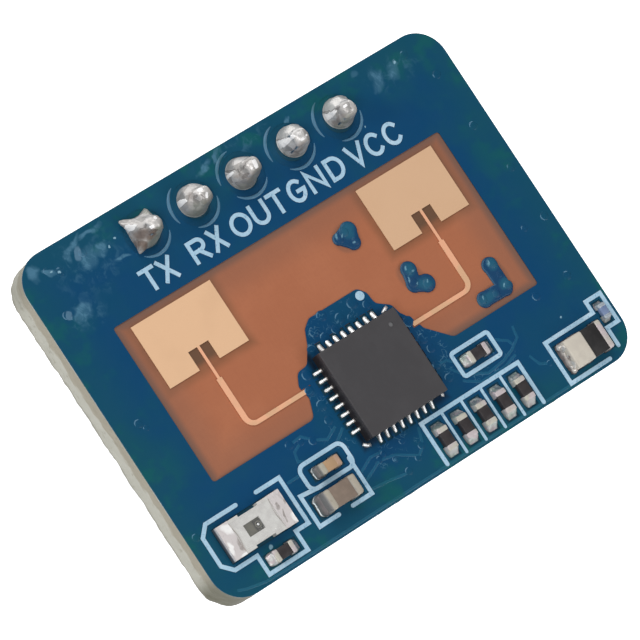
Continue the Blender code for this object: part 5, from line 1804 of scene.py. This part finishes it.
@dataclass
class Led:
    """The status LED: white substrate, plated ends, die in its pocket and clear lens."""

    x: float = -8.2
    y: float = -12.24
    top: float = 4.52
    length: float = 3.2
    width: float = 1.52
    lens_length: float = 2.0
    lens_width: float = 1.28
    pocket: float = 0.16
    contact: float = 0.09
    # The lens's levels, with the inset of its sides and the radius of its corners.
    lens_steps: tuple[tuple[float, float, float], ...] = (
        (0.0, 0.0, 0.06), (0.38, 0.05, 0.07), (0.43, 0.075, 0.08), (0.448, 0.12, 0.09),
    )
    # Where the plating of each end starts, from the middle.
    inner: float = 1.02

    def plating_point(self, side: int, along: float, across: float) -> Point:
        """A point of the plating on one end's top.

        Args:
            side: -1 for the left end, 1 for the right.
            along: Share of the way outwards.
            across: Share of the way from one flank to the other.

        Returns:
            The point.
        """
        reach = self.inner + (self.length / 2 + 0.012 - self.inner) * along
        y = (self.width + 0.02) * (across - 0.5)
        sag = 0.012 * noise(Vector((reach * 4, y * 4, side * 3.0)))
        return (self.x + side * reach, self.y + side * y, self.top + 0.018 + sag)

    def plating(self) -> None:
        """Silvered metal over both ends, top and face."""
        shape = Shape()
        for side in (-1, 1):
            shape.sheet((12, 20), functools.partial(self.plating_point, side), LAND_Z + 0.02)
        shape.piece("led_plating", LED_PLATING, "solder", angle=50.0)

    def lens(self) -> None:
        """The clear block over the die, with drafted sides."""
        shape = Shape()
        rings = []
        for level, inset, radius in self.lens_steps:
            half = Vector((self.lens_length / 2 - inset, self.lens_width / 2 - inset))
            ring = []
            for i, (sx, sy) in enumerate(((1, 1), (-1, 1), (-1, -1), (1, -1))):
                for k in range(5):
                    turn = math.pi / 2 * (i + k / 4)
                    ring.append((self.x + sx * (half.x - radius) + radius * math.cos(turn),
                                 self.y + sy * (half.y - radius) + radius * math.sin(turn),
                                 self.top + 0.01 + level))
            rings.append(ring)
        shape.rings(rings).piece("led_lens_block", EPOXY, "clear_epoxy", ["led_lens"], 40.0)

    def die(self) -> None:
        """The plated floor of the pocket, and the contact on the die with the ring round it."""
        x, y, floor = self.x, self.y, self.top - self.pocket
        low, high = (x - 0.525, y - 0.265, floor + 0.002), (x + 0.265, y + 0.265, floor + 0.02)
        plate = Shape().block(low, high, 0.004, 1)
        plate.piece("led_pocket_floor", POCKET, "led_substrate")
        die = Shape().block((x - 0.06, y - 0.2, floor + 0.015), (x + 0.25, y + 0.2, floor + 0.115), 0.01, 2)
        die.piece("led_die_block", DIE, "die", ["led_die"])
        contact = Shape().dome((x + self.contact, y), 0.055, floor + 0.11, 0.03)
        contact.piece("led_contact", TOE, "solder", angle=80.0)
        ring = Shape().hoop((x + self.contact, y), 0.125, floor + 0.112, 0.045, 0.01)
        ring.piece("led_contact_ring", POCKET, "solder", angle=80.0)

    def feet(self) -> None:
        """The dark line that runs along both feet of the lens."""
        shape = Shape()
        for side in (-1, 1):
            bow = []
            for k in range(13):
                out = self.lens_length / 2 + 0.02 - 0.07 * math.sin(math.pi * k / 12) ** 2
                bow.append(Vector((self.x + side * out, self.y + (k / 12 - 0.5) * self.lens_width)))
            shape.ridge(bow, 0.035, self.top + 0.016, 0.012)
        shape.piece("led_lens_feet", LENS_LINE, "solder", angle=80.0)

    def build(self) -> None:
        """Builds and dresses the LED."""
        self.plating()
        self.lens()
        self.die()
        self.feet()
        dress("led_base", SUBSTRATE)


@dataclass
class Print:
    """The silkscreen: outlines from the CAD, and the function of each pin in plain strokes."""

    low: float = 4.27
    high: float = 5.30
    stroke: float = 0.17
    thick: float = 0.02
    # Each letter's left and right edge from the board's centre, and each word's span of letters.
    letters: tuple[tuple[str, float, float], ...] = (
        ("T", -6.43, -5.64), ("X", -5.58, -4.78), ("R", -3.96, -3.11), ("X", -2.96, -2.22),
        ("O", -1.83, -0.86), ("U", -0.74, 0.07), ("T", 0.19, 1.0), ("G", 1.18, 2.04), ("N", 2.2, 3.03),
        ("D", 3.25, 4.08), ("V", 4.38, 5.24), ("C", 5.33, 6.19), ("C", 6.3, 7.16),
    )
    words: tuple[tuple[str, int, int], ...] = (
        ("tx", 0, 2), ("rx", 2, 4), ("out", 4, 7), ("gnd", 7, 10), ("vcc", 10, 13),
    )

    def arc(self, start: float, end: float, centre: Point = (0.5, 0.5), radii: Point = (0.5, 0.5),
            steps: int = 16) -> list[Point]:
        """Points of an arc in a letter's unit box.

        Args:
            start: Where it starts, in degrees.
            end: Where it ends, in degrees.
            centre: Its centre.
            radii: Its half width and half height.
            steps: How many straight pieces it has.

        Returns:
            The points, in order.
        """
        turns = [math.radians(start + (end - start) * i / steps) for i in range(steps + 1)]
        return [(centre[0] + radii[0] * math.cos(a), centre[1] + radii[1] * math.sin(a)) for a in turns]

    def strokes(self, letter: str) -> list[tuple[list[Point], bool]]:
        """The strokes of a letter in its unit box.

        Args:
            letter: The letter.

        Returns:
            The points of each stroke, and whether it is closed.
        """
        bowl = self.arc(90, -90, (0.58, 0.735), (0.38, 0.265), 10)
        return {
            "T": [([(0, 1), (1, 1)], False), ([(0.5, 1), (0.5, 0)], False)],
            "X": [([(0.04, 1), (0.96, 0)], False), ([(0.96, 1), (0.04, 0)], False)],
            "R": [([(0, 0), (0, 1)], False), ([(0, 1), *bowl, (0.05, 0.47)], False),
                  ([(0.5, 0.47), (0.97, 0)], False)],
            "O": [(self.arc(0, 360, steps=32)[:-1], True)],
            "U": [([(0, 1), *self.arc(180, 360, (0.5, 0.38), (0.5, 0.38)), (1, 1)], False)],
            "G": [([*self.arc(48, 335), (1.0, 0.46), (0.56, 0.46)], False)],
            "N": [([(0, 0), (0, 1), (1, 0), (1, 1)], False)],
            "D": [([(0, 0), (0, 1), *self.arc(90, -90, (0.42, 0.5), (0.58, 0.5))], True)],
            "V": [([(0, 1), (0.5, 0), (1, 1)], False)],
            "C": [(self.arc(42, 318, steps=22), False)],
        }[letter]

    def ribbon(self, shape: Shape, path: list[Vector], closed: bool, lift: float) -> None:
        """Adds one stroke of ink with square ends.

        Args:
            shape: What it is added to.
            path: Its middle line.
            closed: Whether it closes on itself.
            lift: A hair's height that keeps crossing strokes apart.
        """
        half = self.stroke / 2
        if not closed:
            path = [path[0] + (path[0] - path[1]).normalized() * half * 0.9, *path[1:-1],
                    path[-1] + (path[-1] - path[-2]).normalized() * half * 0.9]
        sides = mitres(path, half, 0.42, closed)
        left = [point + side for point, side in zip(path, sides)]
        right = [point - side for point, side in zip(path, sides)]
        top = INK_Z + self.thick + lift
        if closed:
            sections = [[(*a, INK_Z), (*a, top), (*b, top), (*b, INK_Z)] for a, b in zip(left, right)]
            shape.rings(sections, closed=True)
        else:
            shape.prism([tuple(point) for point in left + right[::-1]], INK_Z, top)

    def word(self, name: str, first: int, last: int) -> None:
        """The letters of one pin's function.

        Args:
            name: The pin's name.
            first: Its first letter's place among the letters.
            last: The place after its last letter.
        """
        shape = Shape()
        half = self.stroke / 2
        for letter, left, right in self.letters[first:last]:
            for k, (points, closed) in enumerate(self.strokes(letter)):
                path = []
                for x, y in points:
                    along = left + half + (right - left - self.stroke) * x
                    up = self.low + half + (self.high - self.low - self.stroke) * y
                    path.append(Vector(board_point(along, up)))
                self.ribbon(shape, path, closed, 0.001 * k)
        shape.piece(f"legend_{name}", INK, "ink", angle=40.0)

    def build(self) -> None:
        """Builds and dresses the print."""
        for name, first, last in self.words:
            self.word(name, first, last)
        for node in ("ink_led_outline", "ink_capacitor_outline", "ink_bank_outline", "ink_diode_outline",
                     "ink_resistor_outline", "ink_pin_one_dot"):
            dress(node, INK)


def chip_parts() -> list[ChipPart]:
    """Lists the chip components of the board.

    Returns:
        The components, in the order in which they are built.
    """
    resistor = {
        "length": 1.02, "width": 0.52, "height": 0.35, "left_end": 0.24, "right_end": 0.24, "toe": 0.25,
        "rise": 0.26, "block": RESISTOR_BLACK, "slot": "resistor", "end": PINK_TIN,
    }
    parts = [
        ChipPart("led_resistor", **resistor, seed=1.1),
        ChipPart("single_resistor", **resistor, seed=2.3),
        ChipPart("small_capacitor", 1.02, 0.5, 0.5, 0.3, 0.26, 0.2, 0.2, TAN, "tan_capacitor",
                 PALE_CAP_TIN, seed=3.9, right=TAN_END, skirt=SKIRT),
        ChipPart("large_capacitor", 1.65, 0.88, 0.8, 0.36, 0.4, 0.26, 0.25, BROWN, "brown_capacitor",
                 BEIGE_TIN, seed=4.2, skirt=SKIRT),
        ChipPart("tiny_capacitor", 0.66, 0.36, 0.32, 0.17, 0.17, 0.13, 0.2, GREY, "grey_capacitor",
                 COOL_TIN, upright=True, seed=5.7),
        ChipPart("supply_diode", 2.0, 1.3, 0.55, 0.98, 0.32, 0.2, 0.14, DIODE_BLACK, "diode",
                 BEIGE, seed=6.6, right=PINK_TIN, skirt=LUMPS,
                 lumps=((-1.07, 0.5, 0.16, 0.3), (-1.02, -0.6, 0.15, 0.26)),
                 runs=(
                     (((-1.04, 0.6), (-0.99, 0.48), (-0.97, 0.34), (-1.0, 0.22)), 0.2, 0.46),
                     (((-0.96, 0.12), (-0.93, -0.04), (-0.94, -0.22), (-0.99, -0.4), (-1.0, -0.62)),
                      0.17, 0.5),
                     (((-1.12, -0.3), (-1.09, -0.42), (-1.1, -0.56)), 0.1, 0.26),
                 )),
    ]
    parts += [ChipPart(f"bank_resistor_{i + 1}", **resistor, upright=True, seed=7.0 + 1.7 * i)
              for i in range(5)]
    return parts


@dataclass
class Studio:
    """Floor, lights and the camera of the photograph."""

    eye: Point = (-96.525, -17.137, 192.474)
    aim: tuple[Point, ...] = (
        (0.75771854, 0.46982266, -0.45291201),
        (-0.54754817, 0.83530581, -0.04955002),
        (0.35504031, 0.28553611, 0.89017724),
    )
    lens: float = 296.0
    sensor: float = 36.0
    floor_reach: float = 400.0
    sky: Point = (0.95, 0.97, 1.0, 1.0)
    sky_power: float = 0.24
    target: Point = (0.0, BOARD_Y, 4.0)
    # Each lamp's direction, distance, side and power.
    lamps: tuple[tuple[str, Point, float, float, float], ...] = (
        ("tent_light", (0.05, 0.85, 0.8), 260, 170, 0.26),
        ("key_light", (-0.92, 0.42, 0.48), 260, 70, 0.16),
        ("side_light", (0.45, -0.5, 0.72), 260, 60, 0.09),
        ("fill_light", (0.3, -1.1, 0.7), 260, 120, 0.12),
        ("top_light", (-0.75, -0.25, 1.0), 300, 130, 0.30),
    )

    def camera(self) -> None:
        """The camera at the photograph's viewing angle."""
        data = bpy.data.cameras.new("camera")
        data.lens = self.lens
        data.sensor_width = self.sensor
        data.clip_start = 0.005
        data.clip_end = 5.0
        camera = bpy.data.objects.new("camera", data)
        camera.matrix_world = Matrix.Translation(Vector(self.eye) * MM) @ Matrix(self.aim).to_4x4()
        bpy.context.scene.collection.objects.link(camera)
        bpy.context.scene.camera = camera

    def light(self, name: str, direction: Point, distance: float, size: float, power: float) -> None:
        """A soft box that looks at the module.

        Args:
            name: Its name.
            direction: Where it stands, from the module.
            distance: How far away, in millimetres.
            size: Its side in millimetres.
            power: Its power in watts.
        """
        data = bpy.data.lights.new(name, "AREA")
        data.shape = "SQUARE"
        data.size = size * MM
        data.energy = power
        lamp = bpy.data.objects.new(name, data)
        way = Vector(direction).normalized()
        place = (Vector(self.target) + way * distance) * MM
        lamp.matrix_world = Matrix.Translation(place) @ way.to_track_quat("Z", "Y").to_matrix().to_4x4()
        bpy.context.scene.collection.objects.link(lamp)

    def floor(self) -> None:
        """The pale sweep under the module."""
        mesh = bpy.data.meshes.new("floor")
        reach = self.floor_reach * MM
        level = (FLOOR_Z - 0.02) * MM
        shape = bmesh.new()
        corners = ((-reach, -reach), (reach, -reach), (reach, reach), (-reach, reach))
        shape.faces.new([shape.verts.new((*corner, level)) for corner in corners])
        bmesh.ops.subdivide_edges(shape, edges=shape.edges[:], cuts=8, use_grid_fill=True)
        shape.to_mesh(mesh)
        shape.free()
        mesh.materials.append(material_of(PAPER))
        made = bpy.data.objects.new("floor", mesh)
        bpy.context.scene.collection.objects.link(made)

    def world(self) -> None:
        """An even, fairly dark surround."""
        world = bpy.data.worlds.new("surround")
        world.use_nodes = True
        background = world.node_tree.nodes["Background"]
        background.inputs["Color"].default_value = self.sky
        background.inputs["Strength"].default_value = self.sky_power
        bpy.context.scene.world = world

    def build(self) -> None:
        """Builds the studio."""
        bpy.context.scene.view_settings.view_transform = "Standard"
        self.camera()
        self.floor()
        self.world()
        for lamp in self.lamps:
            self.light(*lamp)


def main() -> None:
    """Builds the sub-assemblies in order."""
    logging.basicConfig(level=logging.INFO, format="%(name)s %(message)s")
    Studio().build()
    Board().build()
    PinRow().build()
    Chip().build()
    for part in chip_parts():
        part.build()
    Led().build()
    Print().build()


if __name__ == "__main__":
    main()
